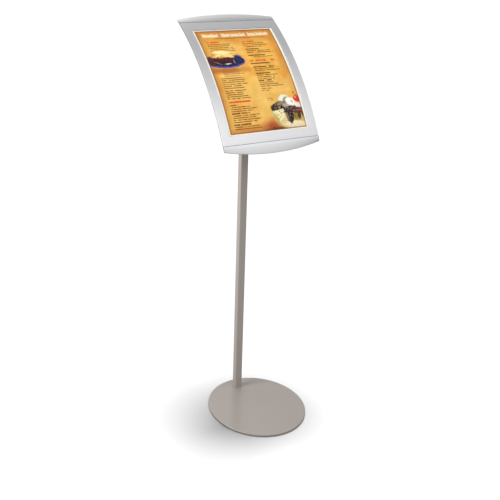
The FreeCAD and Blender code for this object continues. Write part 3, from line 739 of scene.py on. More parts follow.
# %% Clear lens
def make_clear_material():
    """Thin clear sheet: light goes straight through, and a gloss rides on top by angle."""
    material = bpy.data.materials.new("clear_sheet")
    material.use_nodes = True
    tree = material.node_tree
    tree.nodes.remove(tree.nodes["Principled BSDF"])
    through = node(tree, "BsdfTransparent")
    gloss = node(tree, "BsdfGlossy")
    haze = noise(tree, object_place(tree), 60.0, 3)
    feed(tree, through.inputs["Color"], ramp(tree, haze, (0.3, 0.995), (0.7, 0.985)))
    feed(tree, gloss.inputs["Roughness"], spread(tree, haze, 0.3, 0.7, 0.10, 0.16))
    fresnel = node(tree, "Fresnel")
    fresnel.inputs["IOR"].default_value = 1.22
    outside = maths(tree, "SUBTRACT", 1.0, node(tree, "NewGeometry").outputs["Backfacing"])
    mixed = node(tree, "MixShader")
    feed(tree, mixed.inputs[0], maths(tree, "MULTIPLY", fresnel.outputs[0], outside))
    feed(tree, mixed.inputs[1], through.outputs[0])
    feed(tree, mixed.inputs[2], gloss.outputs[0])
    feed(tree, tree.nodes["Material Output"].inputs["Surface"], mixed.outputs[0])
    return material


def centred_rows(length, count):
    return steps(-window_drop - length / 2, -window_drop + length / 2, count)


def make_lens(lap=0.006):
    half = window_width / 2 + lap
    front, back = layer(frame_back, lens_back)
    piece = slab("lens", make_clear_material(), steps(-half, half, 8),
                 centred_rows(window_length + 2 * lap, 64), front, back)
    round_off(piece, 0)
    return join_stand(piece, "face", "clear_plastic", "clear_lens")


lens = make_lens()


# %% Sheet behind
def make_back_panel(inset=0.001):
    low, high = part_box("back_panel")
    half = (high.x - low.x) / 2
    reach = face_length / 2 + 0.0005 + 0.0125 - inset
    front, back = layer(panel_front, panel_back)
    piece = slab("back_sheet", mill_sheet, steps(-half, half, 8), steps(-reach, reach, 72), front, back)
    round_off(piece, 0.0003)
    return join_stand(piece, "head", "panel_aluminium", "back_panel")


back_sheet = make_back_panel()

# %% [markdown]
# ## End rails
# Each rail is a brushed bar with a straight inner edge against the face and an arched outer edge. Its
# front falls away a little towards the arch, which is why it catches the light differently from the
# face beside it. The arch is a circle through the middle and both ends.

# %% Make both rails
rail_end = 0.0125
rail_middle = 0.026
rail_gap = 0.0005


def rail_height(x):
    """How tall the rail is at a distance from its middle."""
    rise, half = rail_middle - rail_end, head_width / 2
    radius = (half ** 2 + rise ** 2) / (2 * rise)
    return rail_middle - (radius - math.sqrt(radius ** 2 - x ** 2))


def make_rail(name, node_name, end, fall=0.0016):
    joint = face_length / 2 + rail_gap
    half = head_width / 2

    def surface(off, drop):
        def spot(x, share):
            return on_head(x, end * (joint + share * rail_height(x)), off - drop * share ** 1.6)
        return spot

    piece = slab(name, brushed_rail, steps(-half, half, 96), steps(0, 1, 12),
                 surface(rail_front, fall), surface(panel_front, 0.0))
    face_map = piece.data.uv_layers["Face"].data
    for loop, corner in zip(piece.data.loops, face_map):
        share = corner.uv[1] - 0.5
        x = corner.uv[0] - 0.5
        corner.uv = (0.5 + x, 0.5 + end * (joint + share * rail_height(x)))
    round_off(piece, 0.0007, 3)
    return join_stand(piece, "head", "brushed_aluminium", node_name)


upper_rail = make_rail("upper_rail", "top_rail", 1)
lower_rail = make_rail("lower_rail", "bottom_rail", -1)
lights_only(left_box, [floor, back_sheet, upper_rail, lower_rail], "EXCLUDE")

# %% [markdown]
# ## The print
# A sheet of paper with a pale border and a printed page inside it. Nothing on it can be read: words
# are rows of ink marks, and the two pictures are a generic slice of pie and a generic sundae, built
# from ovals and boxes. The page is drawn by shader nodes in millimetres from the middle of the face.

# %% Ink shapes as node groups
def split(tree, vector):
    made = node(tree, "SeparateXYZ")
    feed(tree, made.inputs[0], vector)
    return made.outputs["X"], made.outputs["Y"]


def make_oval_group():
    """1 inside a turned oval, falling to 0 over its softness."""
    tree, given, result = new_group(
        "Ink oval",
        [("Place", "Vector", None), ("X", "Float", 0.0), ("Y", "Float", 0.0),
         ("Wide", "Float", 10.0), ("Tall", "Float", 10.0), ("Turn", "Float", 0.0),
         ("Soft", "Float", 0.1)],
        [("Mask", "Float")],
    )
    x, y = split(tree, given["Place"])
    dx = maths(tree, "SUBTRACT", x, given["X"])
    dy = maths(tree, "SUBTRACT", y, given["Y"])
    cosine, sine = maths(tree, "COSINE", given["Turn"]), maths(tree, "SINE", given["Turn"])
    along = maths(tree, "ADD", maths(tree, "MULTIPLY", dx, cosine), maths(tree, "MULTIPLY", dy, sine))
    beside = maths(tree, "SUBTRACT", maths(tree, "MULTIPLY", dy, cosine), maths(tree, "MULTIPLY", dx, sine))
    a = maths(tree, "POWER", maths(tree, "DIVIDE", along, given["Wide"]), 2.0)
    b = maths(tree, "POWER", maths(tree, "DIVIDE", beside, given["Tall"]), 2.0)
    reach = maths(tree, "SQRT", maths(tree, "ADD", a, b))
    edge = maths(tree, "DIVIDE", maths(tree, "SUBTRACT", 1.0, reach), given["Soft"])
    feed(tree, result["Mask"], spread(tree, edge, -0.5, 0.5))
    return tree


def make_box_group():
    """1 inside an upright box, falling to 0 over its softness in millimetres."""
    tree, given, result = new_group(
        "Ink box",
        [("Place", "Vector", None), ("Left", "Float", -10.0), ("Right", "Float", 10.0),
         ("Bottom", "Float", -10.0), ("Top", "Float", 10.0), ("Soft", "Float", 0.5)],
        [("Mask", "Float")],
    )
    x, y = split(tree, given["Place"])
    gaps = [
        maths(tree, "SUBTRACT", x, given["Left"]), maths(tree, "SUBTRACT", given["Right"], x),
        maths(tree, "SUBTRACT", y, given["Bottom"]), maths(tree, "SUBTRACT", given["Top"], y),
    ]
    least = gaps[0]
    for gap in gaps[1:]:
        least = maths(tree, "MINIMUM", least, gap)
    edge = maths(tree, "DIVIDE", least, given["Soft"])
    feed(tree, result["Mask"], spread(tree, edge, -0.5, 0.5))
    return tree


def make_words_group():
    """Rows of ink marks that stand for words, from Top down, with a ragged right edge."""
    tree, given, result = new_group(
        "Ink words",
        [("Place", "Vector", None), ("Left", "Float", 0.0), ("Right", "Float", 60.0),
         ("Top", "Float", 0.0), ("Pitch", "Float", 5.0), ("Rows", "Float", 3.0),
         ("Height", "Float", 0.5), ("Letter", "Float", 1.6), ("Ragged", "Float", 12.0),
         ("Seed", "Float", 0.0)],
        [("Mask", "Float")],
    )
    x, y = split(tree, given["Place"])
    down = maths(tree, "DIVIDE", maths(tree, "SUBTRACT", given["Top"], y), given["Pitch"])
    row = maths(tree, "FLOOR", down)
    within = maths(tree, "FRACT", down)
    middle = maths(tree, "ABSOLUTE", maths(tree, "SUBTRACT", within, 0.5))
    half = maths(tree, "MULTIPLY", given["Height"], 0.5)
    stripe = spread(tree, maths(tree, "SUBTRACT", half, middle), -0.03, 0.03)
    first = maths(tree, "GREATER_THAN", down, 0.0)
    last = maths(tree, "LESS_THAN", down, given["Rows"])
    spot = node(tree, "CombineXYZ")
    feed(tree, spot.inputs["X"], maths(tree, "DIVIDE", x, given["Letter"]))
    feed(tree, spot.inputs["Y"], maths(tree, "MULTIPLY_ADD", row, 7.31, given["Seed"]))
    words = spread(tree, noise(tree, spot.outputs[0], 0.26, 1), 0.36, 0.39)
    strokes = spread(tree, noise(tree, spot.outputs[0], 1.9, 1), 0.34, 0.54, 0.5, 1.0)
    chance = node(tree, "TexWhiteNoise", noise_dimensions="1D")
    feed(tree, chance.inputs["W"], maths(tree, "MULTIPLY_ADD", row, 3.17, given["Seed"]))
    cut = maths(tree, "MULTIPLY", chance.outputs["Value"], given["Ragged"])
    end = maths(tree, "SUBTRACT", given["Right"], cut)
    inside = maths(tree, "MULTIPLY", maths(tree, "GREATER_THAN", x, given["Left"]),
                   maths(tree, "LESS_THAN", x, end))
    mask = inside
    for factor in (stripe, first, last, words, strokes):
        mask = maths(tree, "MULTIPLY", mask, factor)
    feed(tree, result["Mask"], mask)
    return tree


def make_letters_group():
    """A row of heavy letters that spell nothing: stems and bars drawn by lot in even cells."""
    tree, given, result = new_group(
        "Ink letters",
        [("Place", "Vector", None), ("Left", "Float", 0.0), ("Right", "Float", 60.0),
         ("Foot", "Float", 0.0), ("Height", "Float", 10.0), ("Letter", "Float", 6.0),
         ("Seed", "Float", 0.0)],
        [("Mask", "Float")],
    )
    x, y = split(tree, given["Place"])
    along = maths(tree, "SUBTRACT", x, given["Left"])
    letters = maths(tree, "DIVIDE", along, given["Letter"])
    cell, across = maths(tree, "FLOOR", letters), maths(tree, "FRACT", letters)
    up = maths(tree, "DIVIDE", maths(tree, "SUBTRACT", y, given["Foot"]), given["Height"])
    lot = node(tree, "TexWhiteNoise", noise_dimensions="1D")
    feed(tree, lot.inputs["W"], maths(tree, "ADD", cell, given["Seed"]))
    draws = node(tree, "SeparateColor")
    feed(tree, draws.inputs[0], lot.outputs["Color"])

    def near(value, level, reach):
        gap = maths(tree, "ABSOLUTE", maths(tree, "SUBTRACT", value, level))
        return spread(tree, maths(tree, "SUBTRACT", reach, gap), -0.04, 0.04)

    def below(level):
        return spread(tree, maths(tree, "SUBTRACT", level, up), -0.04, 0.04)

    opens = maths(tree, "MAXIMUM", maths(tree, "LESS_THAN", cell, 0.5),
                  maths(tree, "GREATER_THAN", draws.outputs[0], 0.72))
    tall = maths(tree, "MULTIPLY_ADD", opens, 0.28, 0.72)
    first = maths(tree, "MULTIPLY", near(across, 0.26, 0.17), below(tall))
    second = maths(tree, "MULTIPLY", near(across, 0.76, 0.15), below(0.72))
    second = maths(tree, "MULTIPLY", second, maths(tree, "GREATER_THAN", draws.outputs[1], 0.25))
    level = spread(tree, draws.outputs[2], 0.2, 0.8, 0.1, 0.62)
    bar = maths(tree, "MULTIPLY", near(up, level, 0.10), near(across, 0.5, 0.36))
    strokes = maths(tree, "MAXIMUM", maths(tree, "MAXIMUM", first, second), bar)
    for limit in (maths(tree, "GREATER_THAN", along, 0.0), maths(tree, "LESS_THAN", x, given["Right"]),
                  maths(tree, "GREATER_THAN", up, 0.0)):
        strokes = maths(tree, "MULTIPLY", strokes, limit)
    feed(tree, result["Mask"], strokes)
    return tree


ink_oval, ink_box, ink_words = make_oval_group(), make_box_group(), make_words_group()
ink_letters = make_letters_group()
print("ink groups", ink_oval.name, ink_box.name, ink_words.name)

# %% [markdown]
# The page is laid out like a menu: a title, two columns of entries with red headings, a pie at the
# left and a sundae at the lower right. Every entry is left, right, top, line pitch and number of rows.

# %% Words on the page
def tone(red, green, blue):
    """A colour given as it looks on a screen, 0 to 255, for a shader."""
    def linear(part):
        share = part / 255
        return share / 12.92 if share <= 0.04045 else ((share + 0.055) / 1.055) ** 2.4
    return (linear(red), linear(green), linear(blue), 1)


BODY_INK = tone(98, 52, 8)
BOLD_INK = tone(58, 26, 6)
RED_INK = tone(222, 58, 8)
TITLE_INK = tone(252, 240, 214)
PAGE = {"left": -99.8, "right": 99.8, "bottom": -135.4, "top": 131.6}

TITLE = [(-86.0, -44.0, 2.0), (-37.0, 25.0, 5.0), (32.0, 87.0, 9.0)]
WORDS = [
    # left, right, top, pitch, rows, height, letter, ragged, ink, strength
    (-60, 72, 109.0, 4.2, 1, 0.34, 1.6, 0, BODY_INK, 0.7),
    (-84, -51, 98.6, 5.0, 1, 0.62, 2.6, 0, RED_INK, 0.9),
    (-84, -16, 92.0, 4.9, 5, 0.44, 1.7, 14, BODY_INK, 0.62),
    (-72, -16, 14.0, 4.6, 3, 0.40, 1.7, 14, BODY_INK, 0.40),
    (-84, -22, -1.0, 4.8, 3, 0.46, 1.7, 16, BODY_INK, 0.66),
    (-84, -20, -16.0, 4.8, 3, 0.46, 1.7, 20, BODY_INK, 0.66),
    (-84, -19, -32.0, 4.8, 5, 0.46, 1.7, 22, BODY_INK, 0.72),
    (-84, -29, -58.6, 6.6, 1, 0.66, 3.4, 0, RED_INK, 0.95),
    (-84, -62, -67.0, 4.4, 1, 0.60, 2.2, 0, BOLD_INK, 0.85),
    (-84, -12, -71.6, 4.8, 3, 0.44, 1.7, 24, BODY_INK, 0.66),
    (-84, -38, -86.4, 5.0, 1, 0.64, 2.4, 0, BOLD_INK, 0.9),
    (-84, -13, -92.0, 4.8, 4, 0.44, 1.7, 16, BODY_INK, 0.7),
    (-85, -42, -112.4, 5.0, 1, 0.64, 2.4, 0, BOLD_INK, 0.9),
    (-85, -13, -117.6, 4.8, 2, 0.44, 1.7, 12, BODY_INK, 0.66),
    (6, 40, 97.0, 5.4, 1, 0.62, 2.6, 0, RED_INK, 0.85),
    (6, 79, 91.0, 4.9, 3, 0.44, 1.7, 30, BODY_INK, 0.62),
    (8, 43, 74.0, 4.8, 1, 0.60, 2.3, 0, BOLD_INK, 0.85),
    (8, 83, 69.0, 4.8, 2, 0.44, 1.7, 22, BODY_INK, 0.66),
    (8, 52, 56.0, 4.8, 1, 0.60, 2.3, 0, BOLD_INK, 0.85),
    (20, 79, 51.4, 4.4, 1, 0.44, 1.7, 8, BODY_INK, 0.55),
    (6, 70, 41.6, 6.4, 1, 0.66, 3.2, 0, RED_INK, 0.95),
    (6, 57, 33.4, 5.0, 1, 0.62, 2.3, 0, BOLD_INK, 0.85),
    (8, 62, 23.8, 5.0, 1, 0.62, 2.3, 0, BOLD_INK, 0.85),
    (9, 77, 19.0, 4.8, 2, 0.44, 1.7, 20, BODY_INK, 0.66),
    (9, 46, 6.4, 4.8, 1, 0.62, 2.3, 0, BOLD_INK, 0.85),
    (9, 76, 1.6, 4.8, 3, 0.44, 1.7, 30, BODY_INK, 0.66),
    (9, 55, -12.4, 4.8, 1, 0.62, 2.3, 0, BOLD_INK, 0.85),
    (9, 77, -17.4, 4.8, 3, 0.44, 1.7, 34, BODY_INK, 0.66),
    (9, 35, -33.0, 4.8, 2, 0.44, 1.7, 6, BODY_INK, 0.6),
    (15, 34, -58.6, 4.0, 2, 0.40, 1.5, 6, BODY_INK, 0.5),
]

# %% Pictures on the page
PIE = [
    # x, y, wide, tall, turn, soft, colour, strength
    (-58, 17, 44, 8, 0.0, 1.1, tone(160, 58, 16), 0.75),
    (-60, 41.5, 54, 18.0, -0.03, 0.04, tone(84, 82, 156), 1.0),
    (-59, 43.5, 51.5, 16.6, -0.03, 0.07, tone(24, 28, 72), 1.0),
    (-22, 47.5, 11, 10.5, -0.2, 0.45, tone(16, 34, 96), 0.9),
    (-62, 43, 35, 10.5, 0.0, 0.08, tone(38, 10, 10), 1.0),
    (-58, 46, 31, 5.5, 0.0, 0.4, tone(78, 20, 16), 0.8),
    (-52, 34.5, 8, 1.5, -0.05, 0.5, tone(226, 216, 222), 0.85),
    (-76, 37, 10, 1.4, -0.45, 0.6, tone(150, 126, 140), 0.7),
    (-34, 40, 1.6, 6, 0.15, 0.6, tone(160, 146, 180), 0.7),
    (-62, 61.0, 31, 10.5, -0.04, 0.08, tone(228, 176, 84), 1.0),
    (-44, 57.0, 14.5, 5.5, -0.34, 0.20, tone(246, 212, 134), 1.0),
    (-58, 66.5, 22, 4.6, -0.03, 0.6, tone(255, 236, 164), 0.95),
    (-66, 59, 16, 3.5, 0.35, 0.8, tone(252, 224, 144), 0.7),
    (-84, 59, 7, 7, 0.2, 0.6, tone(206, 144, 56), 0.7),
    (-62, 51.6, 31, 1.3, -0.02, 0.6, tone(110, 56, 30), 0.85),
]
SUNDAE = [
    (14, -124, 22, 14, 0.0, 1.2, tone(176, 48, 10), 0.85),
    (24, -134, 26, 5.5, 0.0, 1.0, tone(54, 16, 12), 0.85),
    (62, -100, 45, 36, -0.1, 0.05, tone(214, 190, 108), 1.0),
    (36, -101, 14, 18, 0.3, 0.7, tone(248, 238, 190), 0.95),
    (26, -112, 6, 14, 0.3, 0.6, tone(196, 160, 78), 0.8),
    (74, -126, 34, 8, -0.05, 0.4, tone(252, 240, 196), 0.95),
    (80, -108, 12, 10, 0.1, 0.5, tone(150, 122, 30), 0.9),
    (40, -79, 23, 9, 0.25, 0.2, tone(34, 12, 8), 1.0),
    (25, -85, 8, 5, 0.7, 0.3, tone(58, 24, 16), 1.0),
    (60, -88, 18, 14, -0.5, 0.2, tone(34, 12, 8), 1.0),
    (62, -104, 10, 20, 0.05, 0.2, tone(34, 12, 8), 1.0),
    (84, -91, 20, 10, -0.15, 0.25, tone(60, 20, 12), 1.0),
    (88, -104, 4.5, 11, -0.1, 0.3, tone(52, 20, 14), 1.0),
    (98, -98, 5, 18, 0.2, 0.3, tone(46, 18, 14), 1.0),
    (46, -92, 4.2, 3.4, 0.0, 0.6, tone(246, 234, 206), 1.0),
    (56, -108, 3.4, 9, 0.2, 0.7, tone(150, 112, 84), 0.85),
    (86, -94, 12, 1.6, -0.1, 0.8, tone(170, 84, 70), 0.7),
    (48, -73, 12, 4.5, 0.3, 0.6, tone(160, 138, 116), 0.8),
    (64, -78, 14, 5, 0.2, 0.6, tone(196, 180, 160), 0.8),
    (56, -61, 13, 6.5, 0.35, 0.25, tone(240, 240, 218), 1.0),
    (61, -65, 8, 3.6, 0.7, 0.6, tone(112, 116, 92), 0.9),
    (74, -72, 14, 9.5, -0.5, 0.3, tone(255, 252, 242), 1.0),
    (90, -81, 11, 5.5, -0.4, 0.4, tone(252, 240, 230), 1.0),
    (78, -72, 2.5, 4, 0.4, 0.8, tone(170, 160, 150), 0.7),
    (92, -66, 8, 9.5, 0.25, 0.2, tone(224, 40, 22), 1.0),
    (90, -62, 2.8, 2.6, 0.0, 0.9, tone(255, 170, 140), 0.85),
    (88.5, -51, 2.4, 2.4, 0.0, 0.5, tone(214, 60, 36), 0.85),
]
SPECKS = [
    # x, y, wide, tall, grain, amount, colour
    (46, -80, 20, 9, 0.34, 0.60, tone(222, 206, 180)),
    (62, -92, 16, 18, 0.34, 0.62, tone(236, 222, 196)),
    (86, -92, 14, 10, 0.34, 0.60, tone(226, 160, 130)),
    (-60, 41, 30, 8, 0.40, 0.68, tone(150, 120, 130)),
    (-60, 60, 30, 9, 0.30, 0.58, tone(255, 236, 172)),
    (38, -104, 14, 20, 0.22, 0.55, tone(196, 168, 84)),
    (80, -108, 14, 12, 0.28, 0.56, tone(60, 30, 14)),
]
GLOWS = [
    (-45, -22, 26, 50, 0.35, 1.5, tone(250, 214, 124), 0.45),
    (6, -66, 20, 44, 0.1, 1.5, tone(250, 214, 120), 0.50),
    (-22, 72, 18, 13, 0.0, 1.4, tone(244, 206, 130), 0.5),
    (60, -38, 40, 20, 0.0, 1.5, tone(248, 206, 120), 0.4),
    (-98, 20, 12, 130, 0.0, 1.4, tone(190, 110, 40), 0.4),
    (92, 60, 12, 80, 0.0, 1.4, tone(214, 128, 48), 0.45),
    (-10, 126, 112, 26, 0.0, 1.3, tone(176, 96, 30), 0.68),
    (-20, -134, 80, 10, 0.0, 1.3, tone(206, 112, 40), 0.6),
]


# %% Put the page together
def draw_page():
    material, tree, shader = new_material("printed_page", 0.0, Specular_IOR_Level=0.15)
    uv = node(tree, "UVMap", uv_map="Face").outputs["UV"]
    place = node(tree, "VectorMath", operation="MULTIPLY_ADD")
    feed(tree, place.inputs[0], uv)
    place.inputs[1].default_value = (1000, 1000, 0)
    place.inputs[2].default_value = (-500, -500, 0)
    place = place.outputs[0]
    wobble = node(tree, "TexNoise")
    feed(tree, wobble.inputs["Vector"], place)
    wobble.inputs["Scale"].default_value = 0.16
    wobble.inputs["Detail"].default_value = 3
    drift = node(tree, "VectorMath", operation="MULTIPLY_ADD")
    feed(tree, drift.inputs[0], wobble.outputs["Color"])
    drift.inputs[1].default_value = (6, 6, 0)
    drift.inputs[2].default_value = (-3, -3, 0)
    organic = node(tree, "VectorMath", operation="ADD")
    feed(tree, organic.inputs[0], place)
    feed(tree, organic.inputs[1], drift.outputs[0])
    organic = organic.outputs[0]

    mottle = noise(tree, place, 0.03, 4)
    page = ramp(tree, mottle, (0.3, tone(224, 154, 54)[:3]), (0.5, tone(236, 176, 74)[:3]),
                (0.72, tone(244, 192, 92)[:3]))
    crease = spread(tree, noise(tree, place, 1.0, 5, stretch=(0.03, 0.06, 1)), 0.50, 0.66)
    page = blend(tree, maths(tree, "MULTIPLY", crease, 0.30), page, tone(252, 218, 122))

    def lay_ovals(page, ovals, where):
        for x, y, wide, tall, turn, soft, colour, strength in ovals:
            mask = use_group(tree, ink_oval, Place=where, X=float(x), Y=float(y), Wide=float(wide),
                             Tall=float(tall), Turn=turn, Soft=soft)["Mask"]
            page = blend(tree, maths(tree, "MULTIPLY", mask, strength), page, colour)
        return page

    page = lay_ovals(page, GLOWS, place)
    for seed, (left, right, top, pitch, rows, height, letter, ragged, ink, strength) in enumerate(WORDS):
        mask = use_group(tree, ink_words, Place=place, Left=float(left), Right=float(right), Top=top,
                         Pitch=pitch, Rows=float(rows), Height=height, Letter=letter,
                         Ragged=float(ragged), Seed=seed * 13.7)["Mask"]
        page = blend(tree, maths(tree, "MULTIPLY", mask, min(1.0, strength * 1.45)), page, ink)
    for left, right, seed in TITLE:
        glow = use_group(tree, ink_box, Place=place, Left=left - 2, Right=right + 2, Bottom=110.0,
                         Top=124.0, Soft=5.0)["Mask"]
        page = blend(tree, maths(tree, "MULTIPLY", glow, 0.45), page, tone(244, 186, 100))
        mask = use_group(tree, ink_letters, Place=place, Left=left, Right=right, Foot=112.0,
                         Height=10.6, Letter=6.0, Seed=seed)["Mask"]
        page = blend(tree, mask, page, TITLE_INK)
    page = lay_ovals(page, PIE, organic)
    page = lay_ovals(page, SUNDAE, organic)
    for x, y, wide, tall, grain, amount, colour in SPECKS:
        mask = use_group(tree, ink_oval, Place=organic, X=float(x), Y=float(y), Wide=float(wide),
                         Tall=float(tall), Soft=0.4)["Mask"]
        speck = spread(tree, noise(tree, place, grain, 2), amount, amount + 0.05)
        page = blend(tree, maths(tree, "MULTIPLY", mask, speck), page, colour)

    printed = use_group(tree, ink_box, Place=place, Left=PAGE["left"], Right=PAGE["right"],
                        Bottom=PAGE["bottom"], Top=PAGE["top"], Soft=0.5)["Mask"]
    for softness, strength, ink in ((36.0, 0.42, tone(150, 78, 14)), (4.0, 0.85, tone(92, 48, 14))):
        inner = use_group(tree, ink_box, Place=place, Left=PAGE["left"] + 2, Right=PAGE["right"] - 2,
                          Bottom=PAGE["bottom"] + 2, Top=PAGE["top"] - 2, Soft=softness)["Mask"]
        edge = maths(tree, "SUBTRACT", 1.0, inner)
        page = blend(tree, maths(tree, "MULTIPLY", edge, strength), page, ink)
    fibres = noise(tree, place, 1.4, 4)
    paper = ramp(tree, fibres, (0.3, tone(252, 244, 232)[:3]), (0.7, tone(255, 250, 240)[:3]))
    feed(tree, shader.inputs["Base Color"], blend(tree, printed, paper, page))
    feed(tree, shader.inputs["Roughness"], spread(tree, fibres, 0.3, 0.7, 0.42, 0.5))
    bump(tree, shader, fibres, 0.15, 0.00002)
    return material


def make_print(width=0.2159, length=0.2794):
    front, back = layer(print_front, print_back)
    piece = slab("printed_sheet", draw_page(), steps(-width / 2, width / 2, 8),
                 centred_rows(length, 64), front, back)
    round_off(piece, 0)
    return join_stand(piece, "print", "paper", "print_sheet")


printed_sheet = make_print()

# %% [markdown]
# ## Knob
# The clamp knob is a moulded grip with six soft flutes. A ring's reach dips with the sixth harmonic of
# the angle, sharpened so that the lobes stay broad and the flutes narrow, and only where fingers go.

# %% Make the knob
def make_knob():
    low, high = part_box("clamp_knob")
    middle = (low + high) / 2
    radius = (high.z - low.z) / 2
    depth = high.x - low.x

    def fluted(angle, reach, height):
        if reach < radius * 0.7:
            return 1.0
        wave = (1 + math.cos(6 * angle + math.pi)) / 2
        return 1 - 0.13 * (1 - wave) ** 2.4

    hub = depth * 0.23
    rings = [(0.0031, 0.0001, 0), (radius * 0.60, 0.0, 0), (radius * 0.62, hub * 0.5, 0)]
    rings += [(radius * 0.66, hub * 0.95, 0), (radius * 0.86, hub, 0), (radius * 0.94, hub + 0.0006, 0)]
    for step in range(7):
        share = step / 6
        bulge = math.sin(math.pi * share) * 0.03
        rings.append((radius * (0.965 + bulge), hub + 0.0014 + (depth - hub - 0.0030) * share, 0))
    rings += [(radius * 0.93, depth - 0.0008, 0), (radius * 0.84, depth - 0.0002, 0)]
    rings += [(radius * 0.6, depth, 0), (radius * 0.55, depth - 0.0003, 0), (radius * 0.5, depth - 0.0008, 0)]
    rings += [(radius * 0.2, depth - 0.0010, 0), (0, depth - 0.0010, 0)]
    rings.insert(0, (0.0031, depth - 0.004, 0))
    rings.insert(0, (0, depth - 0.004, 0))
    lean_turn = Matrix.Rotation(-lean, 3, "X") @ Matrix.Rotation(math.pi / 2, 3, "Y")
    piece = turned("grip_knob", moulded_black, rings, count=96, centre=(low.x, middle.y, middle.z),
                   turn=lean_turn, outline=fluted)
    round_off(piece, 0)
    return join_stand(piece, "knob", "black_plastic", "clamp_knob")


grip_knob = make_knob()

# %% [markdown]
# ## Screws and nuts
# Six pan-head screws hold the rails and four nuts hold the bracket. Each kind is modelled once, with
# its hexagon drawn by the ring's shape, and Geometry Nodes stand a copy on every point, square to the
# bow and turned by a seeded random angle, as a fitter leaves them.

# %% Model one screw and one nut
def pan_screw():
    head, tall, key, deep = 0.0028, 0.0018, 0.00125, 0.0010
    top = tall
    rings = [(0, top - deep, 6), (key, top - deep, 6), (key, top, 6), (head * 0.62, top, 0),
             (head * 0.80, top - 0.00015, 0), (head * 0.94, top - 0.0005, 0), (head, top - 0.0010, 0),
             (head, 0.0002, 0), (head * 0.97, 0, 0), (0.0015, 0, 0), (0.0015, -0.0045, 0),
             (0.0012, -0.0047, 0), (0, -0.0047, 0)]
    return round_off(turned("pan_screw", zinc_plate, rings, count=36), 0)


def hex_nut():
    flat, tall, hole = 0.0035, 0.0032, 0.0020
    rings = [(hole, 0.0003, 0), (hole + 0.0003, 0, 0), (flat * 0.93, 0, 0), (flat, 0.0004, 6),
             (flat, tall - 0.0004, 6), (flat * 0.93, tall, 0), (hole + 0.0003, tall, 0),
             (hole, tall - 0.0003, 0), (hole, 0.0003, 0)]
    return round_off(turned("hex_nut", zinc_plate, rings, count=36), 0)


# %% Stand a copy on every point
def fastener_tree():
    tree = bpy.data.node_groups.new("Fasteners square to the bow", "GeometryNodeTree")
    for label, kind in (("Geometry", "Geometry"), ("Fastener", "Object"), ("Size", "Float"),
                        ("Seed", "Int"), ("Finish", "Material")):
        tree.interface.new_socket(label, in_out="INPUT", socket_type="NodeSocket" + kind)
    tree.interface.new_socket("Geometry", in_out="OUTPUT", socket_type="NodeSocketGeometry")
    given = tree.nodes.new("NodeGroupInput").outputs
    result = tree.nodes.new("NodeGroupOutput").inputs
    make = lambda kind: tree.nodes.new(kind)
    facing = make("GeometryNodeInputNamedAttribute")
    facing.data_type = "FLOAT_VECTOR"
    facing.inputs["Name"].default_value = "facing"
    align = make("FunctionNodeAlignRotationToVector")
    align.axis = "Z"
    chance = make("FunctionNodeRandomValue")
    chance.data_type = "FLOAT"
    chance.inputs["Max"].default_value = 2 * math.pi
    spin = make("FunctionNodeAxisAngleToRotation")
    spin.inputs["Axis"].default_value = (0, 0, 1)
    turned_by = make("FunctionNodeRotateRotation")
    turned_by.rotation_space = "LOCAL"
    shape = make("GeometryNodeObjectInfo")
    copies = make("GeometryNodeInstanceOnPoints")
    real = make("GeometryNodeRealizeInstances")
    paint = make("GeometryNodeSetMaterial")
    for source, target in (
        (facing.outputs["Attribute"], align.inputs["Vector"]),
        (given["Seed"], chance.inputs["Seed"]),
        (chance.outputs[1], spin.inputs["Angle"]),
        (align.outputs["Rotation"], turned_by.inputs["Rotation"]),
        (spin.outputs["Rotation"], turned_by.inputs["Rotate By"]),
        (given["Fastener"], shape.inputs["Object"]),
        (given["Geometry"], copies.inputs["Points"]),
        (shape.outputs["Geometry"], copies.inputs["Instance"]),
        (turned_by.outputs["Rotation"], copies.inputs["Rotation"]),
        (given["Size"], copies.inputs["Scale"]),
        (copies.outputs["Instances"], real.inputs["Geometry"]),
        (real.outputs["Geometry"], paint.inputs["Geometry"]),
        (given["Finish"], paint.inputs["Material"]),
        (paint.outputs["Geometry"], result["Geometry"]),
    ):
        tree.links.new(source, target)
    return tree


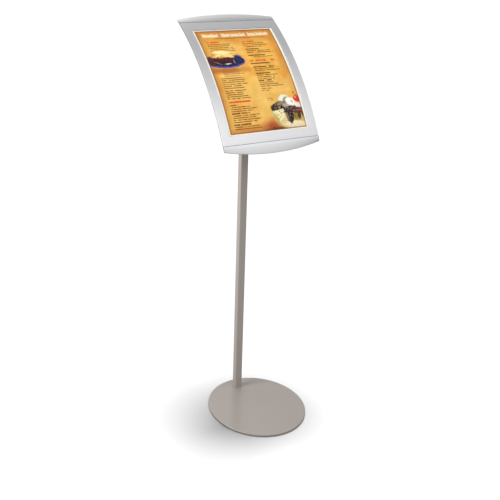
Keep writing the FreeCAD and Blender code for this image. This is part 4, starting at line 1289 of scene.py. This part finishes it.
def stand_copies(name, tree, pattern, spots, finish, seed):
    """spots are (across, arc, off) places; the copies face out of the back of the head."""
    mesh = bpy.data.meshes.new(name)
    mesh.from_pydata([on_head(*spot) for spot in spots], [], [])
    outward = mesh.attributes.new("facing", "FLOAT_VECTOR", "POINT")
    for item, (across, arc, off) in zip(outward.data, spots):
        item.vector = (on_head(across, arc, off - 0.01) - on_head(across, arc, off)).normalized()
    piece = bpy.data.objects.new(name, mesh)
    bpy.context.collection.objects.link(piece)
    modifier = piece.modifiers.new("copies", "NODES")
    modifier.node_group = tree
    sockets = {item.name: item.identifier for item in tree.interface.items_tree if item.in_out == "INPUT"}
    for label, given in (("Fastener", pattern), ("Size", 1.0), ("Seed", seed), ("Finish", finish)):
        modifier[sockets[label]] = given
    settle(piece)
    return piece


def make_fasteners():
    tree = fastener_tree()
    row = face_length / 2 + rail_gap + 0.0055
    screw_spots = [(x, end * row, panel_back) for end in (-1, 1) for x in (-0.095, 0.0, 0.095)]
    plate_back = panel_back - 0.0025 - 0.0008
    nut_spots = [(x, arc, plate_back) for x in (-0.023, 0.023) for arc in (-0.018, 0.018)]
    for name, maker, spots, node_name, seed in (
        ("rail_fixings", pan_screw, screw_spots, "rail_screws", 3),
        ("bracket_nuts", hex_nut, nut_spots, "stud_nuts", 8),
    ):
        pattern = maker()
        piece = stand_copies(name, tree, pattern, spots, zinc_plate, seed)
        bpy.data.objects.remove(pattern)
        piece.data.set_sharp_from_angle(angle=math.radians(35))
        join_stand(piece, "head", "zinc_steel", node_name)


make_fasteners()

# %% [markdown]
# ## CAD pieces that stay
# The bracket, the hinge parts, the magnets and the mat already have their right shapes, so they only
# get their finishes.

# %% Dress the CAD nodes
DRESSED = {
    dark_coat: ("tilt_bracket", "post_head"),
    zinc_plate: ("base_screw", "foot_block", "stem_screw", "pivot_bolt", "knob_washer", "panel_studs",
                 "stud_washers"),
    brass: ("knob_nut",),
    fibre: ("friction_washers",),
    moulded_black: ("spacer_frame",),
    nickel: ("magnets",),
    mat_rubber: ("base_mat",),
}
for finish, names in DRESSED.items():
    for name in names:
        for place in frame["nodes"][name].material_slots:
            place.material = finish
print("dressed", sum(len(names) for names in DRESSED.values()), "CAD nodes")
